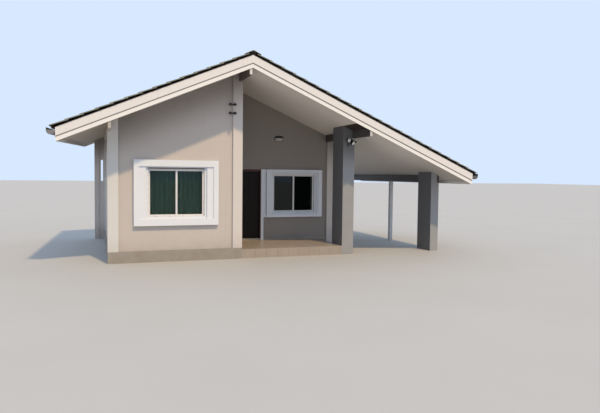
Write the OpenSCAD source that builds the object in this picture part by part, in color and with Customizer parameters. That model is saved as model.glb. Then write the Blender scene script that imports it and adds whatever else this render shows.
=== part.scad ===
/* [Roof] */
// Slope of both roof sides in degrees
roof_pitch = 23.45; // [18:0.05:28]
// Height of the soffit face at the ridge
ridge_height = 4770; // [4400:5:5200]
// Length of the roof from the front barge board to the rear one
roof_len = 6900; // [6700:10:8500]
// Reach of the left slope from the ridge at the front
left_reach = 4305; // [4150:5:4800]
// How far the left eave comes in from front to back
eave_taper = 455; // [0:5:500]
// Reach of the right slope from the ridge
right_reach = 6290; // [6150:10:6600]
// Vertical depth from the soffit face to the underside of the tiles
roof_depth = 226; // [200:2:300]
// Thickness of the soffit sheets
soffit_t = 12; // [6:1:18]
// Width of one rafter
rafter_w = 50; // [40:5:75]
// Spacing of the rafters
rafter_pitch = 960; // [600:10:1200]
/* [Tiles] */
// Length of each tile course that shows, along the slope
tile_course = 330; // [250:5:400]
// Thickness of the covering at the head of a course
tile_head_t = 78; // [50:1:85]
// Thickness of the covering at the butt of a course
tile_butt_t = 102; // [85:1:120]
// How far the tiles pass the barge boards
verge_out = 40; // [20:5:60]
// How far the tiles pass the eave boards into the gutter
eave_out = 130; // [30:5:140]
// Half width of the ridge cap
cap_half = 190; // [120:5:220]
// Thickness of the ridge cap in the middle
cap_t = 32; // [20:1:60]
// Thickness of the ridge cap at its edges
cap_edge_t = 14; // [8:1:18]
/* [Barge boards] */
// Height of the upper barge board
barge_upper_h = 192; // [150:2:210]
// Height of the lower barge board
barge_lower_h = 106; // [90:2:140]
// Thickness of each barge board
barge_t = 25; // [18:1:35]
// How far the upper barge board stands in front of the lower one
barge_step = 16; // [8:1:20]
// Thickness of the eave boards
fascia_t = 20; // [15:1:30]
/* [Gutters] */
// Outer width of a gutter
gutter_w = 180; // [145:5:190]
// Outer height of a gutter
gutter_h = 150; // [120:5:160]
// Thickness of the gutter sheet
gutter_t = 4; // [3:0.5:6]
// How far a gutter hangs below the tiles
gutter_drop = 8; // [5:1:20]
/* [Walls] */
// Thickness of the walls
wall_t = 120; // [100:5:140]
// Distance from the front barge board to the faces of the columns
front_set = 1095; // [900:5:1200]
// How far the front wall lies behind the faces of the columns
wall_set = 60; // [40:5:100]
// Depth of the porch from the column faces to the porch wall
porch_depth = 1975; // [1700:5:2100]
// Depth of the house from the column faces to the rear wall face
house_depth = 5745; // [5500:5:5745]
// Left face of the left column, measured from the ridge
left_edge = 3250; // [3150:5:3300]
// Right face of the ridge column, measured from the ridge
ridge_face = 32; // [20:1:60]
// How far the corner column of the porch reaches past the carport column
corner_w = 221; // [180:1:260]
// Height of the house floor above the ground
floor_h = 280; // [200:10:350]
// Step from the porch floor up to the house floor
threshold = 40; // [20:5:80]
/* [Columns] */
// Width of the left column and of the ridge column
pier_w = 246; // [220:2:280]
// Depth of the left column and of the ridge column
pier_d = 250; // [200:5:300]
// Left face of the carport column, measured from the ridge
carport_x = 2856; // [2800:2:2900]
// Width of the carport column
carport_w = 339; // [300:1:350]
// Depth of the carport column and of the outer column
column_d = 700; // [500:10:750]
// How far the left face of the outer column lies inside the right eave
outer_set = 608; // [560:2:700]
// Width of the outer column
outer_w = 258; // [220:2:300]
// Distance of the steel post behind the outer column
post_gap = 2017; // [1500:1:2200]
// Side of the square steel post
post_w = 108; // [75:1:120]
/* [Beams] */
// Width of the steel beams
beam_w = 62; // [50:2:80]
// Depth of the steel beams below the soffit
beam_d = 190; // [160:5:250]
// How far the ridge beam lies inside the right face of the ridge column
ridge_beam_in = 39; // [10:1:60]
// Depth of the ridge beam and the left beam below the soffit
small_beam_d = 200; // [120:5:200]
/* [Windows] */
// Width of the opening of the porch window and the rear windows
win_w = 1316; // [1150:2:1350]
// Height of the opening of the porch window and the rear windows
win_h = 1136; // [1000:2:1150]
// Height of the rear windows above the ground
win_z = 1136; // [1080:2:1160]
// How much lower the porch window lies than the rear windows
porch_win_drop = 85; // [60:1:100]
// Width of the opening of the front window
front_win_w = 1376; // [1250:2:1400]
// Height of the opening of the front window
front_win_h = 1178; // [1050:2:1190]
// Height of that opening above the ground
front_win_z = 1112; // [1090:2:1140]
// Middle of the front window, measured from the ridge to the left
front_win_x = 1622; // [1600:2:1650]
// Middle of the porch window, measured from the ridge to the right
porch_win_x = 2130; // [2120:1:2150]
// Width of the fixed frame of a window
frame_w = 20; // [16:1:30]
// Depth of a window frame
frame_d = 70; // [64:2:80]
// How far a window frame lies behind the face of its wall
frame_set = 25; // [15:1:40]
// Width of the rails and outer stiles of a sliding light
sash_w = 30; // [24:1:40]
// Width of the stiles that meet in the middle of a window
meet_w = 44; // [36:1:50]
// Depth of a sliding light
sash_d = 24; // [18:1:27]
// Thickness of the glass
glass_t = 6; // [4:1:8]
// Length of the small side window
side_win_w = 1200; // [900:10:1300]
// Height of the small side window
side_win_h = 600; // [500:10:650]
// Height of the small side window above the ground
side_win_z = 2050; // [2000:10:2100]
// How far the middle of the side window lies behind the middle of the house
side_win_back = 1550; // [1300:10:1700]
// How much nearer the ridge the right rear window is than the porch window
rear_win_in = 294; // [200:2:400]
/* [Window surrounds] */
// Width of the surround beside the front window
surround_side = 286; // [250:1:345]
// Height of the surround over and under the window
surround_band = 160; // [130:2:220]
// How far a surround stands out from the wall
surround_out = 100; // [60:5:130]
// Width of the raised rim of a surround
rim_w = 122; // [70:1:125]
// Least width of the sunk panels inside the rim, left and right of the window
panel_w = 46; // [30:1:80]
// How far the rim of a surround stands out from those panels
rim_step = 30; // [15:1:40]
// Width of the plain margin round the window opening
surround_lip = 57; // [20:1:70]
// Thickness of that margin on the wall
lip_t = 20; // [10:1:25]
// Width of the porch surround beside its window
porch_side = 168; // [150:1:180]
// How far the panel between the door and the porch surround stands out
link_out = 60; // [40:5:80]
// Width of the strip beside the door on that panel
link_strip = 79; // [60:1:90]
// How far that strip covers the bar of the door frame
link_over = 43; // [20:1:45]
// Height of the strips at the head and the foot of that panel
link_rim = 110; // [80:5:140]
/* [Rear return wall] */
// How far the rear return wall reaches past the left column
return_w = 304; // [250:2:340]
// Width of the pillar at the end of the return wall
return_pillar_w = 140; // [100:5:160]
// Width of the slot in the return wall
slot_w = 62; // [50:2:80]
// Height of the slot in the return wall
slot_h = 694; // [500:2:750]
// Height of the slot above the ground
slot_z = 1907; // [1850:1:1950]
/* [Porch lamp] */
// Middle of the porch lamp, measured from the ridge
lamp_x = 1641; // [1600:1:1700]
// Height of the middle of the porch lamp
lamp_z = 3243; // [3150:1:3300]
// Radius of the round ends of the lamp's glass
lamp_r = 76; // [60:1:90]
// Distance between the middles of those ends
lamp_l = 124; // [80:2:160]
// Thickness of the hood over the glass
hood_t = 6; // [4:0.5:10]
// Gap between the glass and the hood
hood_gap = 4; // [2:0.5:8]
/* [Flood lamps] */
// Height of the box that carries the flood lamps
flood_z = 3112; // [3000:2:3150]
// Distance of that box from the left face of the carport column
flood_in = 190; // [150:2:220]
// Radius of the front of a flood lamp
flood_r = 68; // [55:1:80]
// Length of a flood lamp
flood_l = 84; // [70:1:110]
// Radius of the box that carries the lamps
flood_box_r = 42; // [30:1:55]
// Depth of that box
flood_box_d = 40; // [30:1:55]
// Radius of the arms of the lamps
flood_arm_r = 9; // [6:1:12]
// Radius of the sensor
sensor_r = 28; // [20:1:35]
/* [Insulators] */
// Height of the lower insulator bracket
rack_z = 3724; // [3600:2:3800]
// Distance between the two brackets
rack_gap = 220; // [180:5:300]
// Length of a bracket
rack_l = 200; // [160:5:260]
// How far a bracket reaches past the left face of the ridge column
rack_out = 116; // [60:2:130]
// Thickness of the flat iron
rack_t = 5; // [4:0.5:8]
// Radius of an insulator
spool_r = 27; // [20:1:34]
// Height of an insulator
spool_h = 52; // [40:1:70]
/* [Front door] */
// Left edge of the doorway, measured from the ridge
door_x = 208; // [200:2:220]
// Width of the doorway
doorway_w = 920; // [900:5:930]
// Height of the doorway above the house floor
doorway_h = 2050; // [2000:10:2120]
// Width of a door frame bar
jamb_w = 50; // [40:1:55]
// Thickness of the door leaf
leaf_t = 38; // [32:1:45]
// Gap between the leaf and the frame
leaf_gap = 5; // [5:0.5:7]
// Width of the stop that the leaf closes on
stop_w = 16; // [10:1:18]
// Length of one hinge
hinge_l = 100; // [80:5:120]
// Outer radius of a hinge knuckle
knuckle_r = 7; // [6:0.5:9]
// Radius of a hinge pin
pin_r = 3.5; // [3:0.25:4.5]
// Distance of the outer hinges from the ends of the leaf
hinge_end = 200; // [150:5:260]
// Width of the stiles and rails round the panels of the leaf
stile_w = 112; // [95:1:130]
// Height of the lower panels
low_panel_h = 560; // [450:5:700]
// Width of the sunk moulding round a panel
moulding_w = 28; // [18:1:40]
// Depth of that moulding
moulding_d = 8; // [5:0.5:11]
// Height of the handle above the house floor
handle_h = 1000; // [900:5:1100]
// Distance of the handle from the edge of the leaf
handle_in = 60; // [50:1:75]
// Length of the lever
lever_l = 120; // [100:1:140]
// How far the lever stands off the leaf
lever_out = 45; // [35:1:60]
// Radius of the lever
lever_r = 9; // [7:0.5:12]
// Radius of the round plate behind the lever
rose_r = 27; // [22:1:32]
/* [Hidden] */

// Slope and the heights of the layers of the roof, all taken at the ridge
slope = tan(roof_pitch);
soffit_z = ridge_height;
tile_z = soffit_z + roof_depth;
barge_split_z = tile_z - barge_upper_h;
barge_low_z = barge_split_z - barge_lower_h;
// Back face of the front barge boards, and its mirror at the rear
boards_in = barge_step + barge_t;
// Gap left between sloping faces that rest on each other
seat = 0.4;
// Main lines of the plan, with the ridge at x = 0 and the front barge boards at y = 0
front_y = front_set;
wall_y = front_y + wall_set;
porch_y = front_y + porch_depth;
rear_y = front_y + house_depth;
outer_x = right_reach - outer_set;
left_wall_x = -left_edge + 30;
ridge_wall_x = ridge_face;
ridge_beam_x = ridge_face - ridge_beam_in - beam_w;
carport_beam_x = carport_x + carport_w - beam_w;
eave_beam_x = outer_x + outer_w - beam_w;
right_column_x = carport_x + carport_w;
right_edge = right_column_x + corner_w - 30;
porch_floor_z = floor_h - threshold;
// The part's origin is the middle of the ground it covers
mid_x = (right_reach + fascia_t + gutter_w - left_reach - fascia_t - gutter_w) / 2;
mid_y = roof_len / 2;

porch_win_z = win_z - porch_win_drop;
rear_win_x = porch_win_x - rear_win_in;
side_win_y = (front_y + rear_y) / 2 + side_win_back;

function soffit_at(x) = soffit_z - abs(x) * slope;
function under_soffit(x) = soffit_at(x) - seat;
function left_eave(y) = -left_reach + eave_taper * y / roof_len;

// A profile in x and z, drawn out from y0 to y1
module along_y(points, y0, y1) {
    translate([0, y1, 0]) rotate([90, 0, 0]) linear_extrude(y1 - y0) polygon(points);
}
// A profile in y and z, drawn out from x0 to x1
module along_x(points, x0, x1) {
    translate([x0, 0, 0]) rotate([90, 0, 90]) linear_extrude(x1 - x0) polygon(points);
}
module box(x0, x1, y0, y1, z0, z1) {
    translate([x0, y0, z0]) cube([x1 - x0, y1 - y0, z1 - z0]);
}
// A layer that follows the right slope between two heights taken at the ridge
module layer(x0, x1, y0, y1, low, high) {
    along_y([[x0, low - x0 * slope], [x1, low - x1 * slope],
             [x1, high - x1 * slope], [x0, high - x0 * slope]], y0, y1);
}
// The same on the left slope, cut along the slanting eave and stopped short of it by an inset
module left_layer(y0, y1, low, high, inset) {
    intersection() {
        mirror([1, 0, 0]) layer(0, left_reach, y0, y1, low, high);
        linear_extrude(tile_z + 500)
            polygon([[0, y0], [0, y1], [left_eave(y1) + inset, y1], [left_eave(y0) + inset, y0]]);
    }
}
// A wall across the house from x0 to x1 that rises to the soffit, with the ridge as a point
module cross_wall(x0, x1, y0, y1, z0) {
    top = x0 < 0 && x1 > 0
        ? [[x1, under_soffit(x1)], [0, under_soffit(0)], [x0, under_soffit(x0)]]
        : [[x1, under_soffit(x1)], [x0, under_soffit(x0)]];
    along_y(concat([[x0, z0], [x1, z0]], top), y0, y1);
}
// Cut for a steel beam that passes through a wall or a column
module beam_cut(x, depth) {
    box(x, x + beam_w, -10, roof_len + 10, min(soffit_at(x), soffit_at(x + beam_w)) - depth, soffit_z + 50);
}
module place() {
    translate([-mid_x, -mid_y, 0]) children();
}

// Floors
module house_floor() {
    in_y = porch_y - wall_set + pier_d;
    color("lightgray") place() linear_extrude(floor_h) polygon([
        [-left_edge, front_y], [ridge_wall_x, front_y], [ridge_wall_x, porch_y],
        [right_column_x, porch_y], [right_column_x, in_y], [right_edge, in_y],
        [right_edge, rear_y], [-left_edge, rear_y]]);
}
module porch_floor() {
    color("lightgray") place() box(ridge_wall_x, carport_x, front_y, porch_y, 0, porch_floor_z);
}

// Walls
module window_hole(x, y, z, w, h) {
    box(x - w / 2, x + w / 2, y - 50, y + wall_t + 50, z, z + h);
}
module front_wall() {
    color("gainsboro") place() difference() {
        cross_wall(-left_edge + pier_w, ridge_wall_x - pier_w, wall_y, wall_y + wall_t, floor_h);
        window_hole(-front_win_x, wall_y, front_win_z, front_win_w, front_win_h);
    }
}
module left_wall() {
    color("gainsboro") place() difference() {
        along_y([[left_wall_x, floor_h], [left_wall_x + wall_t, floor_h],
                 [left_wall_x + wall_t, under_soffit(left_wall_x + wall_t)],
                 [left_wall_x, under_soffit(left_wall_x)]],
                front_y + pier_d, rear_y - pier_d);
        beam_cut(-left_edge, small_beam_d);
        box(left_wall_x - 50, left_wall_x + wall_t + 50, side_win_y - side_win_w / 2,
            side_win_y + side_win_w / 2, side_win_z, side_win_z + side_win_h);
    }
}
module rear_wall() {
    color("gainsboro") place() difference() {
        cross_wall(-left_edge + pier_w, right_edge, rear_y - wall_t, rear_y, floor_h);
        for (x = [-front_win_x, rear_win_x])
            window_hole(x, rear_y - wall_t, win_z, win_w, win_h);
        beam_cut(ridge_beam_x, small_beam_d);
    }
}
module right_wall() {
    color("gainsboro") place()
        along_y([[right_edge - wall_t, floor_h], [right_edge, floor_h],
                 [right_edge, under_soffit(right_edge)],
                 [right_edge - wall_t, under_soffit(right_edge - wall_t)]],
                porch_y - wall_set + pier_d, rear_y - wall_t);
}
module porch_side_wall() {
    color("gainsboro") place() difference() {
        cross_wall(ridge_wall_x - wall_t, ridge_wall_x, front_y + pier_d, porch_y, floor_h);
        beam_cut(ridge_beam_x, small_beam_d);
    }
}
module porch_wall_left() {
    color("gainsboro") place() difference() {
        cross_wall(ridge_wall_x - wall_t, door_x, porch_y, porch_y + wall_t, floor_h);
        beam_cut(ridge_beam_x, small_beam_d);
    }
}
module porch_wall_over() {
    color("gainsboro") place()
        cross_wall(door_x, door_x + doorway_w, porch_y, porch_y + wall_t, floor_h + doorway_h);
}
module porch_wall_right() {
    color("gainsboro") place() difference() {
        cross_wall(door_x + doorway_w, right_column_x, porch_y, porch_y + wall_t, floor_h);
        window_hole(porch_win_x, porch_y, porch_win_z, win_w, win_h);
    }
}

// Columns
module pier(x0, x1, y0, y1, z0) {
    cross_wall(x0, x1, y0, y1, z0);
}
module left_column() {
    color("whitesmoke") place() difference() {
        pier(-left_edge, -left_edge + pier_w, front_y, front_y + pier_d, floor_h);
        beam_cut(-left_edge, small_beam_d);
    }
}
module ridge_column() {
    color("whitesmoke") place() difference() {
        pier(ridge_wall_x - pier_w, ridge_wall_x, front_y, front_y + pier_d, floor_h);
        beam_cut(ridge_beam_x, small_beam_d);
    }
}
module carport_column() {
    color("dimgray") place() difference() {
        pier(carport_x, carport_x + carport_w, front_y, front_y + column_d, 0);
        beam_cut(carport_beam_x, beam_d);
    }
}
module outer_column() {
    color("dimgray") place() difference() {
        pier(outer_x, outer_x + outer_w, front_y, front_y + column_d, 0);
        beam_cut(eave_beam_x, beam_d);
    }
}
module right_column() {
    color("whitesmoke") place()
        pier(right_column_x, right_column_x + corner_w, porch_y - wall_set, porch_y - wall_set + pier_d, 0);
}
module rear_left_column() {
    color("whitesmoke") place() difference() {
        pier(-left_edge, -left_edge + pier_w, rear_y - pier_d, rear_y, floor_h);
        beam_cut(-left_edge, small_beam_d);
    }
}
// A short wall past the rear corner, with a narrow slot and a pillar at its end
module rear_return_wall() {
    x0 = -left_edge - return_w;
    x1 = x0 + return_pillar_w;
    slot_x = x1 + (return_w - return_pillar_w - slot_w) * 0.6;
    color("whitesmoke") place() {
        cross_wall(x0, x1, rear_y - wall_t, rear_y, 0);
        difference() {
            cross_wall(x1, -left_edge, rear_y - wall_t + 25, rear_y, 0);
            box(slot_x, slot_x + slot_w, rear_y - wall_t - 50, rear_y + 50, slot_z, slot_z + slot_h);
        }
    }
}
module carport_post() {
    low = soffit_at(eave_beam_x + beam_w) - beam_d;
    color("silver") place()
        box(eave_beam_x + (beam_w - post_w) / 2, eave_beam_x + (beam_w + post_w) / 2,
            front_y + column_d + post_gap, front_y + column_d + post_gap + post_w, 0, low);
}

// Beams
module roof_beam(x, depth, y0, y1) {
    low = min(soffit_at(x), soffit_at(x + beam_w)) - depth;
    along_y([[x, low], [x + beam_w, low], [x + beam_w, under_soffit(x + beam_w)], [x, under_soffit(x)]],
        y0, y1);
}
module left_beam() {
    color("beige") place() roof_beam(-left_edge, small_beam_d, boards_in, roof_len - boards_in);
}
module ridge_beam() {
    color("sienna") place() roof_beam(ridge_beam_x, small_beam_d, boards_in, roof_len - boards_in);
}
module carport_beam() {
    color("dimgray") place() roof_beam(carport_beam_x, beam_d, boards_in, porch_y - wall_set);
}
module eave_beam() {
    color("dimgray") place() roof_beam(eave_beam_x, beam_d, front_y, roof_len - boards_in);
}

// Roof
module rafters() {
    last = roof_len - boards_in - rafter_w;
    count = ceil((last - boards_in) / rafter_pitch);
    low = soffit_z + soffit_t + seat;
    color("tan") place() for (i = [0:count]) {
        y = boards_in + (last - boards_in) * i / count;
        layer(0, right_reach - fascia_t, y, y + rafter_w, low, tile_z - seat);
        left_layer(y, y + rafter_w, low, tile_z - seat, fascia_t + 5);
    }
}
module soffit_left() {
    color("linen") place()
        left_layer(boards_in, roof_len - boards_in, soffit_z, soffit_z + soffit_t, fascia_t + 1);
}
module soffit_right() {
    color("linen") place()
        layer(0, right_reach - fascia_t, boards_in, roof_len - boards_in, soffit_z, soffit_z + soffit_t);
}
// Outline of the covering of one slope: flat below, one step a course above
function tile_outline(reach) =
    let (n = round((reach - cap_half) / (tile_course * cos(roof_pitch))), step = (reach - cap_half) / n)
    concat(
        [[0, tile_z], [reach, tile_z - reach * slope]],
        [for (i = [0:n - 1], end = [0, 1])
            let (x = reach - step * (i + end), t = end == 0 ? tile_butt_t : tile_head_t)
            [x, tile_z + t - x * slope]],
        [[0, tile_z + tile_head_t]]);
module roof_left() {
    reach = left_reach + eave_out;
    color("dimgray") place() intersection() {
        mirror([1, 0, 0]) along_y(tile_outline(reach), -verge_out, roof_len + verge_out);
        linear_extrude(tile_z + 500) polygon([[0, -verge_out], [0, roof_len + verge_out],
            [left_eave(roof_len + verge_out) - eave_out, roof_len + verge_out],
            [left_eave(-verge_out) - eave_out, -verge_out]]);
    }
}
module roof_right() {
    color("dimgray") place() along_y(tile_outline(right_reach + eave_out), -verge_out, roof_len + verge_out);
}
module ridge_cap() {
    low = tile_z + tile_head_t + seat;
    drop = cap_half * slope;
    color("dimgray") place()
        along_y([[-cap_half, low - drop], [0, low], [cap_half, low - drop],
                 [cap_half, low + cap_edge_t - drop], [0, low + cap_t], [-cap_half, low + cap_edge_t - drop]],
                -verge_out, roof_len + verge_out);
}
module barge(reach, y, back) {
    dy = back ? -1 : 1;
    upper = [y, y + dy * barge_t];
    lower = [y + dy * barge_step, y + dy * boards_in];
    layer(0, reach, min(upper), max(upper), barge_split_z, tile_z - seat);
    layer(0, reach, min(lower), max(lower), barge_low_z, barge_split_z);
}
module front_barge_left() {
    color("ivory") place() mirror([1, 0, 0]) barge(left_reach, 0, false);
}
module front_barge_right() {
    color("ivory") place() barge(right_reach, 0, false);
}
module rear_barge_left() {
    color("ivory") place() mirror([1, 0, 0]) barge(-left_eave(roof_len), roof_len, true);
}
module rear_barge_right() {
    color("ivory") place() barge(right_reach, roof_len, true);
}
module fascia_left() {
    color("ivory") place() intersection() {
        mirror([1, 0, 0]) layer(0, left_reach, boards_in, roof_len - boards_in, barge_low_z, tile_z - seat);
        linear_extrude(tile_z + 500) polygon([
            [left_eave(boards_in), boards_in], [left_eave(boards_in) + fascia_t, boards_in],
            [left_eave(roof_len - boards_in) + fascia_t, roof_len - boards_in],
            [left_eave(roof_len - boards_in), roof_len - boards_in]]);
    }
}
module fascia_right() {
    color("ivory") place()
        layer(right_reach - fascia_t, right_reach, boards_in, roof_len - boards_in, barge_low_z, tile_z - seat);
}
// Section of a gutter with a rounded bottom, its back on the eave board at x = 0
module gutter_outline(inset, top) {
    r = gutter_w / 2;
    translate([inset, r - gutter_h]) square([gutter_w - 2 * inset, gutter_h - r + top]);
    intersection() {
        translate([r, r - gutter_h]) circle(r - inset, $fn = 40);
        translate([0, -gutter_h]) square([gutter_w, r]);
    }
}
// A trough closed at both ends by plates that stop below the edge of the tiles
module gutter(length) {
    stop_drop = eave_out * slope - gutter_drop + gutter_t;
    rotate([90, 0, 180]) difference() {
        linear_extrude(length) gutter_outline(0, 0);
        translate([0, 0, gutter_t]) linear_extrude(length - 2 * gutter_t) gutter_outline(gutter_t, 10);
        translate([gutter_t, -stop_drop, -10])
            cube([gutter_w - 2 * gutter_t, stop_drop + 10, length + 20]);
    }
}
module gutters() {
    rise = eave_taper * slope;
    turn = atan(eave_taper / roof_len);
    run = sqrt(eave_taper * eave_taper + roof_len * roof_len);
    clear = barge_t * eave_taper / roof_len + seat;
    color("slategray") place() {
        translate([left_eave(0) - clear, 0, tile_z - left_reach * slope - gutter_drop])
            rotate([0, 0, -turn]) rotate([atan(rise / run), 0, 0]) gutter(run);
        translate([right_reach + seat, roof_len, tile_z - right_reach * slope - gutter_drop])
            rotate([0, 0, 180]) gutter(roof_len);
    }
}

// Windows
// A raised rim with a sunk panel left and right of the window, round a plain margin on the wall
module surround(x, y, z, w, h, side, band) {
    hole_w = w + 2 * surround_lip;
    hole_h = h + 2 * surround_lip;
    x0 = x - hole_w / 2;
    z0 = z - surround_lip;
    rim = min(rim_w, side - panel_w);
    front = y - surround_out;
    difference() {
        box(x0 - side, x0 + hole_w + side, front, y, z0 - band, z0 + hole_h + band);
        box(x0, x0 + hole_w, front - 10, y - lip_t, z0, z0 + hole_h);
        box(x - w / 2, x + w / 2, front - 10, y + 10, z, z + h);
        box(x0 - side + rim, x0 + hole_w + side - rim, front - 10, front + rim_step, z0, z0 + hole_h);
    }
}
module window_surrounds() {
    porch_band = floor_h + doorway_h - porch_win_z - win_h - surround_lip;
    left = door_x + doorway_w - link_over;
    right = porch_win_x - win_w / 2 - surround_lip - porch_side;
    low = porch_win_z - surround_lip - porch_band;
    color("white") place() {
        surround(-front_win_x, wall_y, front_win_z, front_win_w, front_win_h, surround_side, surround_band);
        surround(porch_win_x, porch_y, porch_win_z, win_w, win_h, porch_side, porch_band);
        box(left, left + link_strip, porch_y - link_out, porch_y, porch_floor_z, low);
        difference() {
            box(left, right, porch_y - link_out, porch_y, low, floor_h + doorway_h);
            box(left + link_strip, right, porch_y - link_out - 10, porch_y - lip_t,
                low + link_rim, floor_h + doorway_h - link_rim);
        }
    }
}
// Each window: its middle and the face of its wall, how it is turned, and its height, width and height above
windows = [
    [-front_win_x, wall_y, 0, front_win_z, front_win_w, front_win_h],
    [porch_win_x, porch_y, 0, porch_win_z, win_w, win_h],
    [-front_win_x, rear_y, 180, win_z, win_w, win_h],
    [rear_win_x, rear_y, 180, win_z, win_w, win_h],
    [left_wall_x, side_win_y, -90, side_win_z, side_win_w, side_win_h],
];
module in_wall(window) {
    translate([window[0], window[1], window[3]]) rotate([0, 0, window[2]])
        translate([0, frame_set, 0]) children();
}
// The right light slides in front of the left one; this is the front face of a light
function sash_y(side) = frame_d / 2 + (side > 0 ? -sash_d - seat : seat);
// The edges of the hole in a light, from its outer stile to its meeting stile
function sash_hole(side, w) =
    side > 0 ? [meet_w / 2, w / 2 - frame_w - sash_w] : [-w / 2 + frame_w + sash_w, -meet_w / 2];
module window_frame(w, h) {
    difference() {
        box(-w / 2, w / 2, 0, frame_d, 0, h);
        box(-w / 2 + frame_w, w / 2 - frame_w, -10, frame_d + 10, frame_w, h - frame_w);
    }
    for (side = [-1, 1]) {
        hole = sash_hole(side, w);
        y = sash_y(side);
        difference() {
            box(side > 0 ? hole[0] - meet_w : hole[0] - sash_w + seat,
                side > 0 ? hole[1] + sash_w - seat : hole[1] + meet_w,
                y, y + sash_d, frame_w + seat, h - frame_w - seat);
            box(hole[0], hole[1], y - 10, y + sash_d + 10, frame_w + sash_w, h - frame_w - sash_w);
        }
    }
}
module panes(w, h) {
    for (side = [-1, 1]) {
        hole = sash_hole(side, w);
        y = sash_y(side) + (sash_d - glass_t) / 2;
        box(hole[0], hole[1], y, y + glass_t, frame_w + sash_w, h - frame_w - sash_w);
    }
}
module window_frames() {
    color("white") place() for (window = windows) in_wall(window) window_frame(window[4], window[5]);
}
module window_glass() {
    color("darkslategray") place() for (window = windows) in_wall(window) panes(window[4], window[5]);
}

// Front door, hung on the right and opening inwards
leaf_x0 = door_x + jamb_w + leaf_gap;
leaf_x1 = door_x + doorway_w - jamb_w - leaf_gap;
leaf_z0 = floor_h + 8;
leaf_z1 = floor_h + doorway_h - jamb_w - leaf_gap;
leaf_y1 = porch_y + wall_t;
leaf_y0 = leaf_y1 - leaf_t;
hinge_x = leaf_x1 + leaf_gap / 2;
hinge_y = leaf_y1 + knuckle_r + 0.3;
hinge_zs = [leaf_z0 + hinge_end, (leaf_z0 + leaf_z1 - hinge_l) / 2, leaf_z1 - hinge_end - hinge_l];
module door_frame() {
    color("white") place() difference() {
        box(door_x, door_x + doorway_w, porch_y, porch_y + wall_t, floor_h, floor_h + doorway_h);
        box(door_x + jamb_w, door_x + doorway_w - jamb_w, leaf_y0 - leaf_gap, porch_y + wall_t + 10,
            floor_h - 10, floor_h + doorway_h - jamb_w);
        box(door_x + jamb_w + stop_w, door_x + doorway_w - jamb_w - stop_w, porch_y - 10, porch_y + wall_t + 10,
            floor_h - 10, floor_h + doorway_h - jamb_w - stop_w);
    }
}
// A sunk moulding round a raised field, cut from the faces of the leaf at y0 to y1
module panel_cut(x0, x1, y0, y1, z0, z1) {
    difference() {
        box(x0, x1, y0, y1, z0, z1);
        box(x0 + moulding_w, x1 - moulding_w, y0 - 10, y1 + 10, z0 + moulding_w, z1 - moulding_w);
    }
}
module front_door() {
    panel_w = (leaf_x1 - leaf_x0 - 3 * stile_w) / 2;
    low_top = leaf_z0 + stile_w * 2 + low_panel_h;
    color("saddlebrown") place() difference() {
        box(leaf_x0, leaf_x1, leaf_y0, leaf_y1, leaf_z0, leaf_z1);
        for (i = [0, 1], y = [leaf_y0 - 10, leaf_y1 - moulding_d]) {
            x = leaf_x0 + stile_w + i * (panel_w + stile_w);
            panel_cut(x, x + panel_w, y, y + moulding_d + 10, leaf_z0 + stile_w * 2, low_top);
            panel_cut(x, x + panel_w, y, y + moulding_d + 10, low_top + stile_w, leaf_z1 - stile_w);
        }
    }
}
plate_t = 1.8;
// Plates on the frame with a knuckle at each end and the pin
module frame_hinges() {
    k = hinge_l * 0.3;
    plate_x = leaf_x1 + leaf_gap - plate_t;
    color("silver") place() for (z = hinge_zs) {
        translate([hinge_x, hinge_y, z]) cylinder(h = k, r = knuckle_r, $fn = 32);
        translate([hinge_x, hinge_y, z + hinge_l - k]) cylinder(h = k, r = knuckle_r, $fn = 32);
        box(plate_x, leaf_x1 + leaf_gap, leaf_y0 + 6, hinge_y, z, z + k);
        box(plate_x, leaf_x1 + leaf_gap, leaf_y0 + 6, hinge_y, z + hinge_l - k, z + hinge_l);
        box(plate_x, leaf_x1 + leaf_gap, leaf_y0 + 6, leaf_y1 - 4, z, z + hinge_l);
        translate([hinge_x, hinge_y, z]) cylinder(h = hinge_l, r = pin_r, $fn = 24);
    }
}
// Plates on the leaf with the middle knuckle, bored for the pin
module door_hinges() {
    k = hinge_l * 0.3 + 1;
    color("silver") place() for (z = hinge_zs) difference() {
        union() {
            translate([hinge_x, hinge_y, z + k]) cylinder(h = hinge_l - 2 * k, r = knuckle_r, $fn = 32);
            box(leaf_x1, leaf_x1 + plate_t, leaf_y0 + 6, hinge_y, z + k, z + hinge_l - k);
        }
        translate([hinge_x, hinge_y, z]) cylinder(h = hinge_l, r = pin_r + 0.3, $fn = 24);
    }
}
module door_handle() {
    x = leaf_x0 + handle_in;
    z = floor_h + handle_h;
    color("silver") place() for (side = [0, 1]) {
        y = side == 0 ? leaf_y0 : leaf_y1;
        dir = side == 0 ? 1 : -1;
        translate([x, y, z]) rotate([90 * dir, 0, 0]) {
            cylinder(h = 8, r = rose_r, $fn = 40);
            cylinder(h = lever_out, r = lever_r, $fn = 24);
        }
        translate([x - lever_r, y - dir * lever_out, z]) rotate([0, 90, 0])
            cylinder(h = lever_l, r = lever_r, $fn = 24);
    }
}

// Lamps
// A long body with round ends, half sunk in the wall at y = 0
module lamp_shell(r) {
    translate([-lamp_l / 2, 0, 0]) rotate([0, 90, 0]) cylinder(h = lamp_l, r = r, $fn = 48);
    for (side = [-1, 1])
        translate([side * lamp_l / 2, 0, 0]) sphere(r, $fn = 48);
}
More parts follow.
